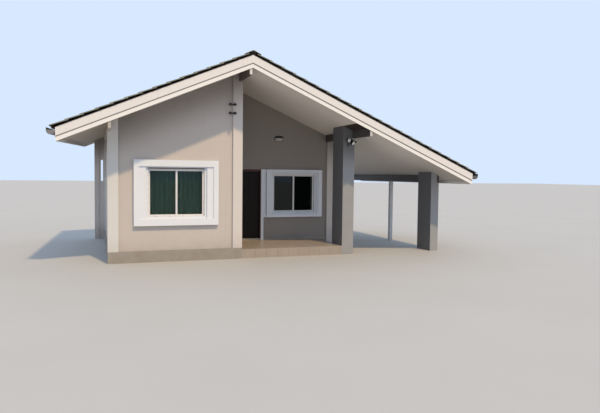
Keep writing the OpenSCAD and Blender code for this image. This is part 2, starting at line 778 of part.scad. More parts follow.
// An oval wall lamp: glass on a plate, with a hood over its upper half
module porch_lamp() {
    hood_in = lamp_r + hood_gap;
    hood_out = hood_in + hood_t;
    reach = lamp_l / 2 + hood_out + 10;
    color("white") place() translate([lamp_x, porch_y, lamp_z]) {
        intersection() {
            lamp_shell(lamp_r);
            box(-reach, reach, -hood_out, -hood_t, -hood_out, hood_out);
        }
        intersection() {
            lamp_shell(hood_out);
            box(-reach, reach, -hood_t, 0, -hood_out, hood_out);
        }
        intersection() {
            difference() {
                lamp_shell(hood_out);
                lamp_shell(hood_in);
            }
            box(-reach, reach, -hood_out - 10, -hood_t, hood_out * 0.28, hood_out + 10);
        }
    }
}
// A round lamp on a ball joint at the origin; tip turns it down and turn turns it to the right
module flood_head(turn, tip) {
    sphere(flood_arm_r * 1.6, $fn = 24);
    rotate([90 + tip, 0, turn]) {
        cylinder(h = flood_l - 20, r1 = flood_r * 0.45, r2 = flood_r * 0.9, $fn = 40);
        translate([0, 0, flood_l - 20]) cylinder(h = 14, r = flood_r, $fn = 40);
        translate([0, 0, flood_l - 6]) cylinder(h = 6, r = flood_r * 0.88, $fn = 40);
    }
}
// A round arm in the plane of the column's face, from one point to another
module flood_arm(from, to) {
    d = to - from;
    translate([from[0], -flood_box_d / 2, from[1]]) rotate([0, 90 - atan2(d[1], d[0]), 0])
        cylinder(h = norm(d), r = flood_arm_r, $fn = 24);
}
module flood_lamps() {
    heads = [[-78, 38, 17, 12], [42, -22, 26, 24]];
    sensor = [142, -16];
    color("dimgray") place() translate([carport_x + flood_in, front_y, flood_z]) {
        rotate([90, 0, 0]) cylinder(h = flood_box_d, r = flood_box_r, $fn = 40);
        for (head = heads) {
            flood_arm([0, 0], [head[0], head[1]]);
            translate([head[0], -flood_box_d / 2, head[1]]) flood_head(head[2], head[3]);
        }
        flood_arm([0, 0], sensor);
        translate([sensor[0], -flood_box_d / 2, sensor[1]]) rotate([90, 0, 0])
            cylinder(h = sensor_r * 2, r = sensor_r * 0.8, $fn = 32);
        translate([sensor[0], -flood_box_d / 2 - sensor_r * 2, sensor[1]]) sphere(sensor_r, $fn = 32);
    }
}

// Two brackets of flat iron on the ridge column, each with two insulators on bolts
module spool() {
    waist = spool_r * 0.58;
    rotate_extrude($fn = 32) polygon([
        [0, 0], [spool_r, 0], [spool_r, spool_h * 0.28], [waist, spool_h * 0.5],
        [spool_r, spool_h * 0.72], [spool_r, spool_h], [0, spool_h]]);
}
module wire_insulators() {
    x0 = ridge_wall_x - pier_w - rack_out;
    reach = spool_r * 2 + 8;
    color("dimgray") place() for (i = [0, 1]) translate([x0, front_y, rack_z + i * rack_gap]) {
        box(0, rack_l, -rack_t, 0, -spool_h * 0.4, spool_h * 0.4);
        for (x = [spool_r + 4, rack_l - spool_r - 24]) {
            box(x - spool_r * 0.6, x + spool_r * 0.6, -reach, 0, -spool_h / 2 - rack_t, -spool_h / 2);
            box(x - spool_r * 0.6, x + spool_r * 0.6, -reach, 0, spool_h / 2, spool_h / 2 + rack_t);
            box(x - spool_r * 0.6, x + spool_r * 0.6, -rack_t, 0, -spool_h / 2, spool_h / 2);
            translate([x, -reach + spool_r, -spool_h / 2]) spool();
        }
    }
}

house_floor();
porch_floor();
front_wall();
left_wall();
rear_wall();
right_wall();
porch_side_wall();
porch_wall_left();
porch_wall_over();
porch_wall_right();
left_column();
ridge_column();
carport_column();
outer_column();
right_column();
rear_left_column();
rear_return_wall();
carport_post();
left_beam();
ridge_beam();
carport_beam();
eave_beam();
rafters();
soffit_left();
soffit_right();
roof_left();
roof_right();
ridge_cap();
front_barge_left();
front_barge_right();
rear_barge_left();
rear_barge_right();
fascia_left();
fascia_right();
gutters();
window_surrounds();
window_frames();
window_glass();
door_frame();
frame_hinges();
front_door();
door_hinges();
door_handle();
porch_lamp();
flood_lamps();
wire_insulators();
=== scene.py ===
import math

import bmesh
import bpy
from mathutils import Matrix, Vector


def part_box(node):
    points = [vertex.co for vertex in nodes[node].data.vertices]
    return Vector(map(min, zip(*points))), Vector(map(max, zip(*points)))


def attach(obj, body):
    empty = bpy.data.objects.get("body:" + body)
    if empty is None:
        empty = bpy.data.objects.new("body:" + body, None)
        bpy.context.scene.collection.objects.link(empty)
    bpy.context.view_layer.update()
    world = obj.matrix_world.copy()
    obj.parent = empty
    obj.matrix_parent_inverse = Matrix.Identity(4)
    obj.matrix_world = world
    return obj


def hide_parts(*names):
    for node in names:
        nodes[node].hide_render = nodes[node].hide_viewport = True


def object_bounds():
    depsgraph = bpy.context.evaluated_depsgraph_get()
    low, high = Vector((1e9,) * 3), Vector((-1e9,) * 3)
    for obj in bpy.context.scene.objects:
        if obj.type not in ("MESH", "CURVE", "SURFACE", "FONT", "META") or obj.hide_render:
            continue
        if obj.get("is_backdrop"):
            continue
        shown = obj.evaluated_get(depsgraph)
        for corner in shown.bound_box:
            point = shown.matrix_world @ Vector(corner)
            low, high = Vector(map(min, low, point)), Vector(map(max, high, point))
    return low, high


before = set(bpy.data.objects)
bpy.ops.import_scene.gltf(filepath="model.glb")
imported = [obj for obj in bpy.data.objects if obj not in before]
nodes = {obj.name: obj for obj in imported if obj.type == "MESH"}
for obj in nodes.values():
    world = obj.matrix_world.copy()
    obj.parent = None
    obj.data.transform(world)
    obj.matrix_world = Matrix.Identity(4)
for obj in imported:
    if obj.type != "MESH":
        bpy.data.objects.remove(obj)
cad_low, cad_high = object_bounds()

# Floors. The house stands on a raised base of trowelled concrete, stained at its foot. The porch
# floor has square ceramic tiles laid with a cement joint, on its top and over its edge.


class Term:
    """A node's output for use in sums: each operation adds one Math node."""

    def __init__(self, graph, socket):
        self.graph = graph
        self.socket = socket

    def math(self, operation, *values):
        return self.graph.add("ShaderNodeMath", {"operation": operation}, dict(enumerate(values)))

    def __add__(self, other):
        return self.math("ADD", self, other)

    def __sub__(self, other):
        return self.math("SUBTRACT", self, other)

    def __rsub__(self, other):
        return self.math("SUBTRACT", other, self)

    def __mul__(self, other):
        return self.math("MULTIPLY", self, other)

    def __truediv__(self, other):
        return self.math("DIVIDE", self, other)

    def __gt__(self, other):
        return self.math("GREATER_THAN", self, other)

    def __lt__(self, other):
        return self.math("LESS_THAN", self, other)

    def __or__(self, other):
        return self.math("MAXIMUM", self, other)

    def __abs__(self):
        return self.math("ABSOLUTE", self)

    def fraction(self):
        return self.math("FRACT", self)

    def root(self):
        return self.math("SQRT", self)

    def joints(self, apart, width):
        """1 in the joints of this width that lie this far apart."""
        return (self / apart).fraction() < width / apart

    def to_range(self, low, high):
        """0 at low, 1 at high, with soft ends."""
        return self.graph.add(
            "ShaderNodeMapRange", {"interpolation_type": "SMOOTHSTEP"}, {0: self, 1: low, 2: high}
        )

    __radd__ = __add__
    __rmul__ = __mul__


class Graph:
    """A node tree. A node is added by its type, its settings and its sockets' values or links."""

    def __init__(self, tree):
        self.tree = tree

    def add(self, kind, settings=None, sockets=None, output=0):
        node = self.tree.nodes.new(kind)
        for name, value in (settings or {}).items():
            setattr(node, name, value)
        for key, value in (sockets or {}).items():
            self.feed(node.inputs[key], value)
        return Term(self, node.outputs[output])

    def feed(self, socket, value):
        if isinstance(value, Term):
            self.tree.links.new(value.socket, socket)
        else:
            socket.default_value = value


class Finish(Graph):
    """A material with one Principled shader, and the patterns that its surfaces share."""

    def __init__(self, name, fixed):
        self.material = bpy.data.materials.new(name)
        self.material.use_nodes = True
        super().__init__(self.material.node_tree)
        self.shader = self.tree.nodes["Principled BSDF"]
        for key, value in fixed.items():
            self.shader.inputs[key].default_value = value
        self.place = self.add("ShaderNodeTexCoord", output="Object")
        self.x, self.y, self.z = (
            self.add("ShaderNodeSeparateXYZ", sockets={0: self.place}, output=name) for name in "XYZ"
        )

    def stretched(self, scale):
        """Object coordinates scaled along each axis."""
        return self.add("ShaderNodeMapping", sockets={"Vector": self.place, "Scale": scale})

    def noise(self, scale, detail=3.0, rough=0.5, over=None):
        sockets = {"Vector": over or self.place, "Scale": scale, "Detail": detail, "Roughness": rough}
        return self.add("ShaderNodeTexNoise", sockets=sockets)

    def mix(self, first, second, share):
        def as_colour(value):
            return value if isinstance(value, Term) else (*value, 1)

        sockets = {0: share, 6: as_colour(first), 7: as_colour(second)}
        return self.add("ShaderNodeMix", {"data_type": "RGBA"}, sockets, output=2)

    def colour(self, value):
        self.feed(self.shader.inputs["Base Color"], value)

    def paint_over(self, colour, share):
        """Mixes one more colour over the base colour so far."""
        so_far = self.shader.inputs["Base Color"].links[0].from_socket
        self.colour(self.mix(Term(self, so_far), colour, share))

    def roughness(self, value):
        self.feed(self.shader.inputs["Roughness"], value)

    def relief(self, height, distance):
        sockets = {"Distance": distance, "Height": height}
        self.feed(self.shader.inputs["Normal"], self.add("ShaderNodeBump", sockets=sockets))


def shade(colour, factor):
    return tuple(channel * factor for channel in colour)


def dress(finish, *names):
    """Gives CAD nodes their finish."""
    for name in names:
        mesh = nodes[name].data
        mesh.materials.clear()
        mesh.materials.append(finish.material)


PITCH = math.radians(23.45)
SLOPE = math.tan(PITCH)
cap_low, cap_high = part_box("ridge_cap")
ridge_x = (cap_low.x + cap_high.x) / 2
roof_low, roof_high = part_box("roof_right")
ridge_z = roof_low.z + (roof_high.x - ridge_x) * SLOPE

MUD = (0.23, 0.19, 0.15)
SPLASHED = (0.1, 0.75)
EAVE_SHADE_SPAN = (-1.3, -0.3)


def plaster(name, colour, dirt=0.5, sand=0.0006, eave_shade=0.0):
    """Trowelled render under paint: clouds, rain streaks, splashes at the foot, small chips, and
    a painted shade that darkens it under the roof's slope."""
    finish = Finish(name, {"Specular IOR Level": 0.3})
    cloud = finish.noise(0.9, 4)
    streak = finish.noise(1.0, 4, over=finish.stretched((7, 7, 0.35)))
    speck = finish.noise(60, 2)
    worn = finish.mix(shade(colour, 0.93), shade(colour, 1.06), cloud)
    streaky = finish.mix(worn, shade(colour, 0.72), streak.to_range(0.56, 0.8) * 0.35 * dirt)
    low = (1 - finish.z.to_range(*SPLASHED)) * finish.noise(5, 5) * dirt
    mud_and_eave_shade = finish.mix(streaky, MUD, low)
    under_roof = finish.z + abs(finish.x - ridge_x) * SLOPE - ridge_z
    # Painted shade: the render darkens under the roof's slope.
    mud_and_eave_shade = finish.mix(mud_and_eave_shade, shade(colour, 0.4), under_roof.to_range(*EAVE_SHADE_SPAN) * eave_shade)
    finish.colour(finish.mix(mud_and_eave_shade, shade(colour, 0.8), speck.to_range(0.62, 0.75) * 0.25))
    finish.roughness(finish.noise(12) * 0.2 + 0.62)
    finish.relief(finish.noise(240, 4) + finish.noise(3.5, 2) * 2.5, sand)
    return finish


dress(plaster("plinth_concrete", (0.34, 0.32, 0.29), dirt=0.9, sand=0.0012), "house_floor")

TILE_SIDE = 0.3
TILE_JOINT = 0.004
JOINT_DEPTH = 0.002
JOINT_CEMENT = (0.12, 0.11, 0.10)
GLAZE = ((0.30, 0.25, 0.20), (0.38, 0.32, 0.27))

ceramic = Finish("porch_tiling", {"Specular IOR Level": 0.5})
floor_joint = ceramic.x.joints(TILE_SIDE, TILE_JOINT) | ceramic.y.joints(TILE_SIDE, TILE_JOINT)
ceramic.colour(ceramic.mix(ceramic.mix(*GLAZE, ceramic.noise(3, 5)), JOINT_CEMENT, floor_joint))
ceramic.roughness(ceramic.noise(9) * 0.2 + 0.25 + floor_joint * 0.4)
ceramic.relief(1 - floor_joint, JOINT_DEPTH)
dress(ceramic, "porch_floor")

# Walls. Blockwork with a trowelled render under warm grey paint, and a darker browner grey under
# the porch roof, partly its own paint and partly painted shade. The paint has faint trowel marks,
# rain streaks and mud at the foot, and painted shade darkens it just under the slopes.

wall_render = plaster("wall_render", (0.53, 0.48, 0.445), eave_shade=0.8)
dress(wall_render, "front_wall", "left_wall", "rear_wall", "right_wall")
# The porch walls' darker, browner grey is partly their own paint and partly painted shade.
porch_render = plaster("porch_render", (0.275, 0.247, 0.22), dirt=0.3)
dress(porch_render, "porch_side_wall", "porch_wall_left", "porch_wall_over", "porch_wall_right")

# Columns. Rendered concrete, painted off-white at the house and charcoal at the carport. The
# charcoal's face to the street has painted light on it, fading into painted shade near the roof.

dress(plaster("left_render", (0.63, 0.62, 0.60), dirt=0.4), "left_column", "rear_left_column")
# On the ridge column too, a painted shade darkens the top under the roof.
white_render = plaster("white_render", (0.62, 0.575, 0.545), eave_shade=0.8)
dress(white_render, "ridge_column", "right_column", "rear_return_wall")

CHARCOAL = (0.13, 0.13, 0.135)
STREET_FACE_LIT = (0.32, 0.32, 0.325)
ROOF_SHADE_SPAN = (2.3, 3.1)
FACE_SKIN = 0.002

column_low, column_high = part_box("carport_column")
charcoal = plaster("dark_render", CHARCOAL, dirt=0.4)
# Painted light on the street face, fading into painted shade towards the roof.
lit_street_face = (charcoal.y < column_low.y + FACE_SKIN) * (charcoal.noise(2, 4) * 0.3 + 0.7)
light_and_roof_shade = charcoal.mix(STREET_FACE_LIT, shade(STREET_FACE_LIT, 0.5), charcoal.z.to_range(*ROOF_SHADE_SPAN))
charcoal.paint_over(light_and_roof_shade, lit_street_face)
dress(charcoal, "carport_column", "outer_column")

# Beams and post. Folded steel sections carry the soffits: cream at the left, brown over the ridge
# column and charcoal over the carport. The front end faces of the brown one and of the charcoal
# one on the carport column are painted pale, a painted highlight of the sun on them.

LIT_END_DEPTH = 0.004
RUST = (0.19, 0.12, 0.08)

beam_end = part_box("ridge_beam")[0].y


def steel_paint(name, colour, lit_end_colour=None):
    finish = Finish(name, {"Specular IOR Level": 0.45})
    brushed = finish.noise(4, 5, over=finish.stretched((1, 0.15, 3)))
    painted = finish.mix(shade(colour, 0.85), shade(colour, 1.2), brushed)
    rust = finish.noise(6, 6).to_range(0.66, 0.8)
    painted = finish.mix(painted, RUST, rust * 0.25)
    # The front end face is painted pale: a painted highlight of the sun on it.
    if lit_end_colour:
        painted = finish.mix(painted, lit_end_colour, finish.y < beam_end + LIT_END_DEPTH)
    finish.colour(painted)
    finish.roughness(finish.noise(14) * 0.25 + 0.4 + rust * 0.2)
    finish.relief(finish.noise(90, 3) + rust, 0.0004)
    return finish


dress(steel_paint("cream_steel", (0.42, 0.38, 0.32)), "left_beam")
dress(steel_paint("brown_steel", (0.075, 0.055, 0.046), (0.62, 0.60, 0.57)), "ridge_beam")
dress(steel_paint("dark_steel", (0.070, 0.062, 0.060), (0.55, 0.53, 0.50)), "carport_beam")
dress(steel_paint("eave_steel", (0.040, 0.036, 0.036)), "eave_beam")
dress(steel_paint("post_paint", (0.50, 0.51, 0.52)), "carport_post")

# Rafters and soffits. Sawn timber rafters carry fibre-cement sheets, nailed under them and painted
# off-white. The paint grows darker towards the low end of the carport and yellower at the left,
# and one strip in front of the carport column is brown like the beam.

SAWN = ((0.26, 0.16, 0.09), (0.48, 0.33, 0.20))

timber = Finish("rafter_timber", {"Specular IOR Level": 0.3})
grain = timber.noise(18, 6, over=timber.stretched((0.25, 6, 6)))
timber.colour(timber.mix(*SAWN, grain))
timber.roughness(grain * 0.2 + 0.6)
timber.relief(grain, 0.0012)
dress(timber, "rafters")

SHEET_LENGTH = 2.4
SHEET_WIDTH = 1.2
SHEET_SEAM = 0.004
SHEET_PAINT = ((0.70, 0.665, 0.625), (0.78, 0.745, 0.70))
LOW_END_GREY = (0.36, 0.34, 0.315)
GREYER_FROM = 3.2
GREYER_TO = 5.0
YELLOW = (0.52, 0.46, 0.39)
YELLOW_PAST = 2.5
DAMP = (0.40, 0.36, 0.31)
SEAM_FILLER = (0.36, 0.33, 0.30)
STRIP_BROWN = (0.045, 0.036, 0.032)

soffit = Finish("soffit_board", {"Specular IOR Level": 0.2})
sheet_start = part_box("soffit_right")[0]
seam = (soffit.x - sheet_start.x).joints(SHEET_LENGTH, SHEET_SEAM)
seam = seam | (soffit.y - sheet_start.y).joints(SHEET_WIDTH, SHEET_SEAM)
sheet_tone = soffit.mix(*SHEET_PAINT, soffit.noise(1.2, 4))
# Darker towards the low end of the carport, and yellower at the left.
sheet_tone = soffit.mix(sheet_tone, LOW_END_GREY, soffit.x.to_range(GREYER_FROM, GREYER_TO) * 0.8)
sheet_tone = soffit.mix(sheet_tone, YELLOW, soffit.x < ridge_x - YELLOW_PAST)
damp = soffit.mix(sheet_tone, DAMP, soffit.noise(0.6, 5).to_range(0.6, 0.8) * 0.3)
jointed = soffit.mix(damp, SEAM_FILLER, seam * 0.35)
strip = (soffit.x > column_low.x) * (soffit.x < column_high.x) * (soffit.y < column_low.y)
soffit.colour(soffit.mix(jointed, STRIP_BROWN, strip))
soffit.roughness(soffit.noise(8) * 0.15 + 0.6)
soffit.relief(soffit.noise(120, 3) * 0.3 - seam, 0.0008)
dress(soffit, "soffit_left", "soffit_right")

# Barge boards and eave boards. Two painted boards in steps follow each slope, nailed to the
# rafters' ends; cream paint, a filled butt joint beside the ridge, painted shade under the tiles'
# edge along the top of the upper board, and painted shadow with dust in the step between the boards.

UPPER_BOARD = 0.192
STEP_SHADOW_SPAN = (-0.014, 0.012)
BUTT_AT = 0.25
BUTT_W = 0.005
VERGE_SHADE_H = 0.05
BOARD_CREAM = ((0.69, 0.66, 0.635), (0.75, 0.72, 0.695))
LOWER_BOARD_LIT = (0.86, 0.835, 0.80)
GRIME = (0.42, 0.37, 0.32)
STEP_SHADOW_AND_DUST = (0.25, 0.215, 0.18)
FILLER_AND_SHADE = (0.36, 0.31, 0.27)

boards_low, boards_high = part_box("front_barge_left")


def board_paint(name, stepped):
    finish = Finish(name, {"Specular IOR Level": 0.4})
    fibre = finish.noise(10, 5, over=finish.stretched((0.5, 5, 9)))
    paint = finish.mix(*BOARD_CREAM, fibre)
    grime = finish.noise(1, 5, over=finish.stretched((9, 9, 0.8))).to_range(0.56, 0.8)
    paint = finish.mix(paint, GRIME, grime * 0.25)
    relief = fibre
    if stepped:
        under = finish.z + abs(finish.x - ridge_x) * SLOPE - (boards_high.z - UPPER_BOARD)
        # Painted shadow, with some dust, in the step under the upper board's lip.
        step_shadow_mask = (under > STEP_SHADOW_SPAN[0]) * (under < STEP_SHADOW_SPAN[1])
        butt = (abs(finish.x - (ridge_x - BUTT_AT)) < BUTT_W / 2) * (under > 0)
        # Painted shade under the tiles' edge along the top of the upper board, broken up by noise.
        verge_shade_breakup = finish.noise(14, 4).to_range(0.45, 0.7)
        verge_shade = under.to_range(UPPER_BOARD - VERGE_SHADE_H, UPPER_BOARD) * verge_shade_breakup
        # The lower board is painted lighter than the upper one: painted light.
        paint = finish.mix(paint, LOWER_BOARD_LIT, (under < 0) * 0.5)
        paint = finish.mix(paint, STEP_SHADOW_AND_DUST, step_shadow_mask * 0.85)
        paint = finish.mix(paint, FILLER_AND_SHADE, (butt * 0.6) | (verge_shade * 0.5))
        relief = fibre - butt
    finish.colour(paint)
    finish.roughness(finish.noise(20) * 0.25 + 0.4)
    finish.relief(relief, 0.0006)
    return finish


barge_paint = board_paint("board_paint", True)
dress(barge_paint, "front_barge_left", "front_barge_right", "rear_barge_left", "rear_barge_right")
dress(board_paint("eave_paint", False), "fascia_left", "fascia_right")

# Roof covering. Cement tiles with two low rolls each lie in courses on timber battens, every tile
# lapping the one below; lichen has turned their edges pale.

TILE_COURSE = 0.33
TILE_COVER = 0.3
TILE_LAP = 0.075
HEAD_RISE = 0.084
BUTT_RISE = 0.102
TILE_T = 0.016
ROLL_H = 0.012
ROLLS = 2
FIRST_ROLL = 0.25
PROFILE_STEPS = 16
JITTER = 0.003
SINK = 0.6
TONE_SEED = 7
CAP_HALF = 0.19
VERGE_EDGE = 0.012
SAME_PLACE = 1e-4


def new_object(name, mesh):
    """A new object at the origin whose place is in its mesh."""
    piece = bpy.data.objects.new(name, mesh)
    bpy.context.scene.collection.objects.link(piece)
    return piece


def mesh_from(bm, name):
    """Writes a finished bmesh to a new mesh, with its faces turned outwards."""
    bmesh.ops.recalc_face_normals(bm, faces=bm.faces)
    mesh = bpy.data.meshes.new(name)
    bm.to_mesh(mesh)
    bm.free()
    return mesh


def loft(rings, name):
    """A closed mesh through rings of points; the first and the last ring are capped by strips."""
    bm = bmesh.new()
    rows = [[bm.verts.new(point) for point in ring] for ring in rings]
    count = len(rows[0])
    for a, b in zip(rows, rows[1:]):
        for i in range(count):
            j = (i + 1) % count
            bm.faces.new((a[i], a[j], b[j], b[i]))
    for ring in (rows[0], rows[-1]):
        for i in range(count // 2 - 1):
            bm.faces.new((ring[i], ring[i + 1], ring[count - 2 - i], ring[count - 1 - i]))
    return mesh_from(bm, name)


def tile_mesh(course, cover):
    """One tile, its head at x = -TILE_LAP and its butt at x = course, one cover wide along y."""
    rings = []
    for x in (-TILE_LAP, course):
        rise = math.cos(PITCH) * (HEAD_RISE + (BUTT_RISE - HEAD_RISE) * x / course)
        top = []
        for i in range(PROFILE_STEPS + 1):
            share = i / PROFILE_STEPS
            roll = max(0.0, math.cos(2 * math.pi * ROLLS * (share - FIRST_ROLL)))
            top.append((x, cover * share, rise - ROLL_H * (1 - roll)))
        rings.append(top + [(x, y, z - TILE_T) for x, y, z in reversed(top)])
    return loft(rings, "tile")


class Laying(Graph):
    """A Geometry Nodes tree with named inputs that lays copies of one object."""

    def __init__(self, name, **kinds):
        super().__init__(bpy.data.node_groups.new(name, "GeometryNodeTree"))
        self.tree.is_modifier = True
        sockets = self.tree.interface
        sockets.new_socket("Geometry", in_out="OUTPUT", socket_type="NodeSocketGeometry")
        self.keys = {}
        for key, kind in kinds.items():
            item = sockets.new_socket(key, in_out="INPUT", socket_type="NodeSocket" + kind)
            self.keys[key] = item.identifier
        entry = self.tree.nodes.new("NodeGroupInput")
        self.given = {key: Term(self, entry.outputs[key]) for key in kinds}

    def end_with(self, geometry):
        real = self.add("GeometryNodeRealizeInstances", sockets={0: geometry})
        sockets = {"Geometry": real, "Material": self.given["Material"]}
        painted = self.add("GeometryNodeSetMaterial", sockets=sockets)
        self.tree.links.new(painted.socket, self.tree.nodes.new("NodeGroupOutput").inputs[0])

    def lay(self, place, **values):
        """Runs the tree with these inputs and gives a plain mesh moved to its place."""
        carrier = new_object("carrier", bpy.data.meshes.new("carrier"))
        modifier = carrier.modifiers.new("laying", "NODES")
        modifier.node_group = self.tree
        for key, value in values.items():
            modifier[self.keys[key]] = value
        bpy.context.view_layer.update()
        made = carrier.evaluated_get(bpy.context.evaluated_depsgraph_get())
        mesh = bpy.data.meshes.new_from_object(made)
        carrier.modifiers.remove(modifier)
        bpy.data.objects.remove(carrier)
        mesh.transform(place)
        return mesh


rows = Laying(
    "rows", Copy="Object", Courses="Int", Row="Int", Step="Float", Cover="Float", Seed="Int",
    Jitter="Float", Material="Material",
)
given = rows.given


def random_up_to(high, seed):
    """A random number from 0 to high for each copy."""
    sockets = {2: 0.0, 3: high, "Seed": seed}
    return rows.add("FunctionNodeRandomValue", {"data_type": "FLOAT"}, sockets, output=1)


row_x = (given["Courses"] - 1) * given["Step"]
row_y = (given["Row"] - 1) * given["Cover"]
grid = rows.add("GeometryNodeMeshGrid", sockets={
    "Size X": row_x, "Size Y": row_y, "Vertices X": given["Courses"], "Vertices Y": given["Row"],
})
corner = rows.add("ShaderNodeCombineXYZ", sockets={0: row_x * 0.5, 1: row_y * 0.5})
set_out = rows.add("GeometryNodeTransform", sockets={"Geometry": grid, "Translation": corner})
slip = random_up_to(given["Jitter"], given["Seed"])
slipped = rows.add("GeometryNodeSetPosition", sockets={
    "Geometry": set_out,
    "Offset": rows.add("ShaderNodeCombineXYZ", sockets={0: slip * -1, 2: slip * -SINK}),
})
copied = rows.add("GeometryNodeObjectInfo", sockets={"Object": given["Copy"]}, output="Geometry")
laid = rows.add("GeometryNodeInstanceOnPoints", sockets={"Points": slipped, "Instance": copied})
tone = random_up_to(1.0, given["Seed"] + TONE_SEED)
rows.end_with(rows.add(
    "GeometryNodeStoreNamedAttribute", {"data_type": "FLOAT", "domain": "INSTANCE"},
    {"Geometry": laid, "Name": "tone", "Value": tone},
))


def lay_rows(place, pattern, finish, courses=1, row=1, step=0.1, cover=0.1, seed=0, jitter=0.0):
    """Lays a grid of copies of one mesh and removes the pattern."""
    copy = new_object("pattern", pattern)
    mesh = rows.lay(
        place, Copy=copy, Courses=courses, Row=row, Step=step, Cover=cover, Seed=seed, Jitter=jitter,
        Material=finish.material,
    )
    bpy.data.objects.remove(copy)
    mesh.materials.clear()
    mesh.materials.append(finish.material)
    return mesh


def slope_frame(side, top_z):
    """Slope coordinates: x down the slope from the ridge, z off it; side is 1 right, -1 left."""
    down = Vector((side * math.cos(PITCH), 0, -math.sin(PITCH)))
    off = Vector((side * math.sin(PITCH), 0, math.cos(PITCH)))
    turned = Matrix((down, off.cross(down), off)).transposed().to_4x4()
    start_y = cad_low.y if side > 0 else cad_high.y
    return Matrix.Translation((ridge_x, start_y, top_z)) @ turned


def cement(name, dark, light, lichen):
    finish = Finish(name, {"Specular IOR Level": 0.25})
    tone = finish.add("ShaderNodeAttribute", {"attribute_name": "tone"}, output="Fac")
    base = finish.mix(dark, light, finish.noise(6, 6) * 0.6 + tone * 0.4)
    spots = finish.noise(38, 6, 0.7).to_range(0.5, 0.64)
    patch = finish.noise(1.6, 4).to_range(0.42, 0.6)
    outer = (finish.y < cad_low.y + VERGE_EDGE) | (finish.y > cad_high.y - VERGE_EDGE)
    finish.colour(finish.mix(base, lichen, (spots * patch * 0.8) | (outer * 0.7)))
    finish.roughness(finish.noise(30) * 0.15 + 0.78)
    finish.relief(finish.noise(180, 5) + spots * 0.5, 0.0015)
    return finish


def cut_mesh(piece, point, normal):
    """Cuts away what lies beyond a plane and closes the cut."""
    bm = bmesh.new()
    bm.from_mesh(piece.data)
    everything = bm.verts[:] + bm.edges[:] + bm.faces[:]
    cut = bmesh.ops.bisect_plane(
        bm, geom=everything, plane_co=point, plane_no=normal, clear_outer=True
    )
    rim = [edge for edge in cut["geom_cut"] if isinstance(edge, bmesh.types.BMEdge)]
    bmesh.ops.triangle_fill(bm, use_beauty=True, edges=rim)
    bm.to_mesh(piece.data)
    bm.free()


def eave_line(side):
    """Front and rear ends of the lower edge of one slope's covering."""
    name = "roof_right" if side > 0 else "roof_left"
    corners = [vert.co for vert in nodes[name].data.vertices]
    ends = []
    for y in (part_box(name)[0].y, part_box(name)[1].y):
        at_end = [corner for corner in corners if abs(corner.y - y) < SAME_PLACE]
        ends.append(max(at_end, key=lambda corner: (round(side * corner.x, 4), -corner.z)))
    return ends


def away_from(along, side):
    """The level direction out from the roof, square to its eave."""
    return Vector((along.y * side, -along.x * side, 0)).normalized()


def trim_to_eave(piece, side, inset=0.0):
    """Cuts a piece along an eave that runs aslant."""
    front, rear = eave_line(side)
    along = rear - front
    if abs(along.x) < SAME_PLACE:
        return
    outward = away_from(along, side)
    cut_mesh(piece, front - outward * inset, outward)


tile_cement = cement("roof_tiling", (0.050, 0.046, 0.042), (0.13, 0.12, 0.105), (0.30, 0.30, 0.245))
roof_run = roof_high.y - roof_low.y
tile_row = round(roof_run / TILE_COVER)


def tile_slope(side, name, seed):
    reach = abs(eave_line(side)[0].x - ridge_x)
    courses = round((reach - CAP_HALF) / (TILE_COURSE * math.cos(PITCH)))
    step = (reach - CAP_HALF) / courses / math.cos(PITCH)
    lowest = reach / math.cos(PITCH) - BUTT_RISE * math.sin(PITCH)
    place = slope_frame(side, ridge_z) @ Matrix.Translation((lowest - courses * step, 0, 0))
    cover = roof_run / tile_row
    mesh = lay_rows(
        place, tile_mesh(step, cover), tile_cement, courses, tile_row, step, cover, seed, JITTER
    )
    piece = new_object(name, mesh)
    trim_to_eave(piece, side)
    return piece


TILED = ((1, "roof_tiles_right", "roof_right", 3), (-1, "roof_tiles_left", "roof_left", 8))
for side, name, node, seed in TILED:
    piece = tile_slope(side, name, seed)
    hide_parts(node)
    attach(piece, "house")

# Battens and underlay. Battens along the house carry the tiles' heads, on a bituminous sheet over
# the rafters. Their ends, near-black with painted shade, make a black band under the tiles' edge.

BATTEN_W = 0.05
BATTEN_T = 0.035
UNDERLAY_T = 0.012
UNDERLAY_Z = 0.002
BATTEN_GAP = 0.001
VERGE_INSET = 0.03
EAVE_INSET = 0.05
BITUMEN_AND_SHADE = ((0.010, 0.008, 0.007), (0.028, 0.022, 0.018))

bitumen_and_shade = Finish("batten_stain", {"Specular IOR Level": 0.2})
# Near-black: the bitumen's own black, and painted shade on the battens.
bitumen_and_shade.colour(bitumen_and_shade.mix(*BITUMEN_AND_SHADE, bitumen_and_shade.noise(9, 5)))
bitumen_and_shade.roughness(bitumen_and_shade.noise(20) * 0.1 + 0.82)
bitumen_and_shade.relief(bitumen_and_shade.noise(70, 4), 0.001)


def box_mesh(name, boxes, place):
    """One mesh of bars, each given by its low and its high corner, moved to its place."""
    bm = bmesh.new()
    for low, high in boxes:
        low, high = Vector(low), Vector(high)
        made = bmesh.ops.create_cube(bm, size=1)["verts"]
        bmesh.ops.scale(bm, vec=high - low, verts=made)
        bmesh.ops.translate(bm, vec=(low + high) / 2, verts=made)
    bmesh.ops.transform(bm, matrix=place, verts=bm.verts)
    return mesh_from(bm, name)


def merged(name, meshes, finish):
    """One object of several meshes, with one finish."""
    bm = bmesh.new()
    for mesh in meshes:
        bm.from_mesh(mesh)
    mesh = mesh_from(bm, name)
    mesh.materials.append(finish.material)
    return new_object(name, mesh)


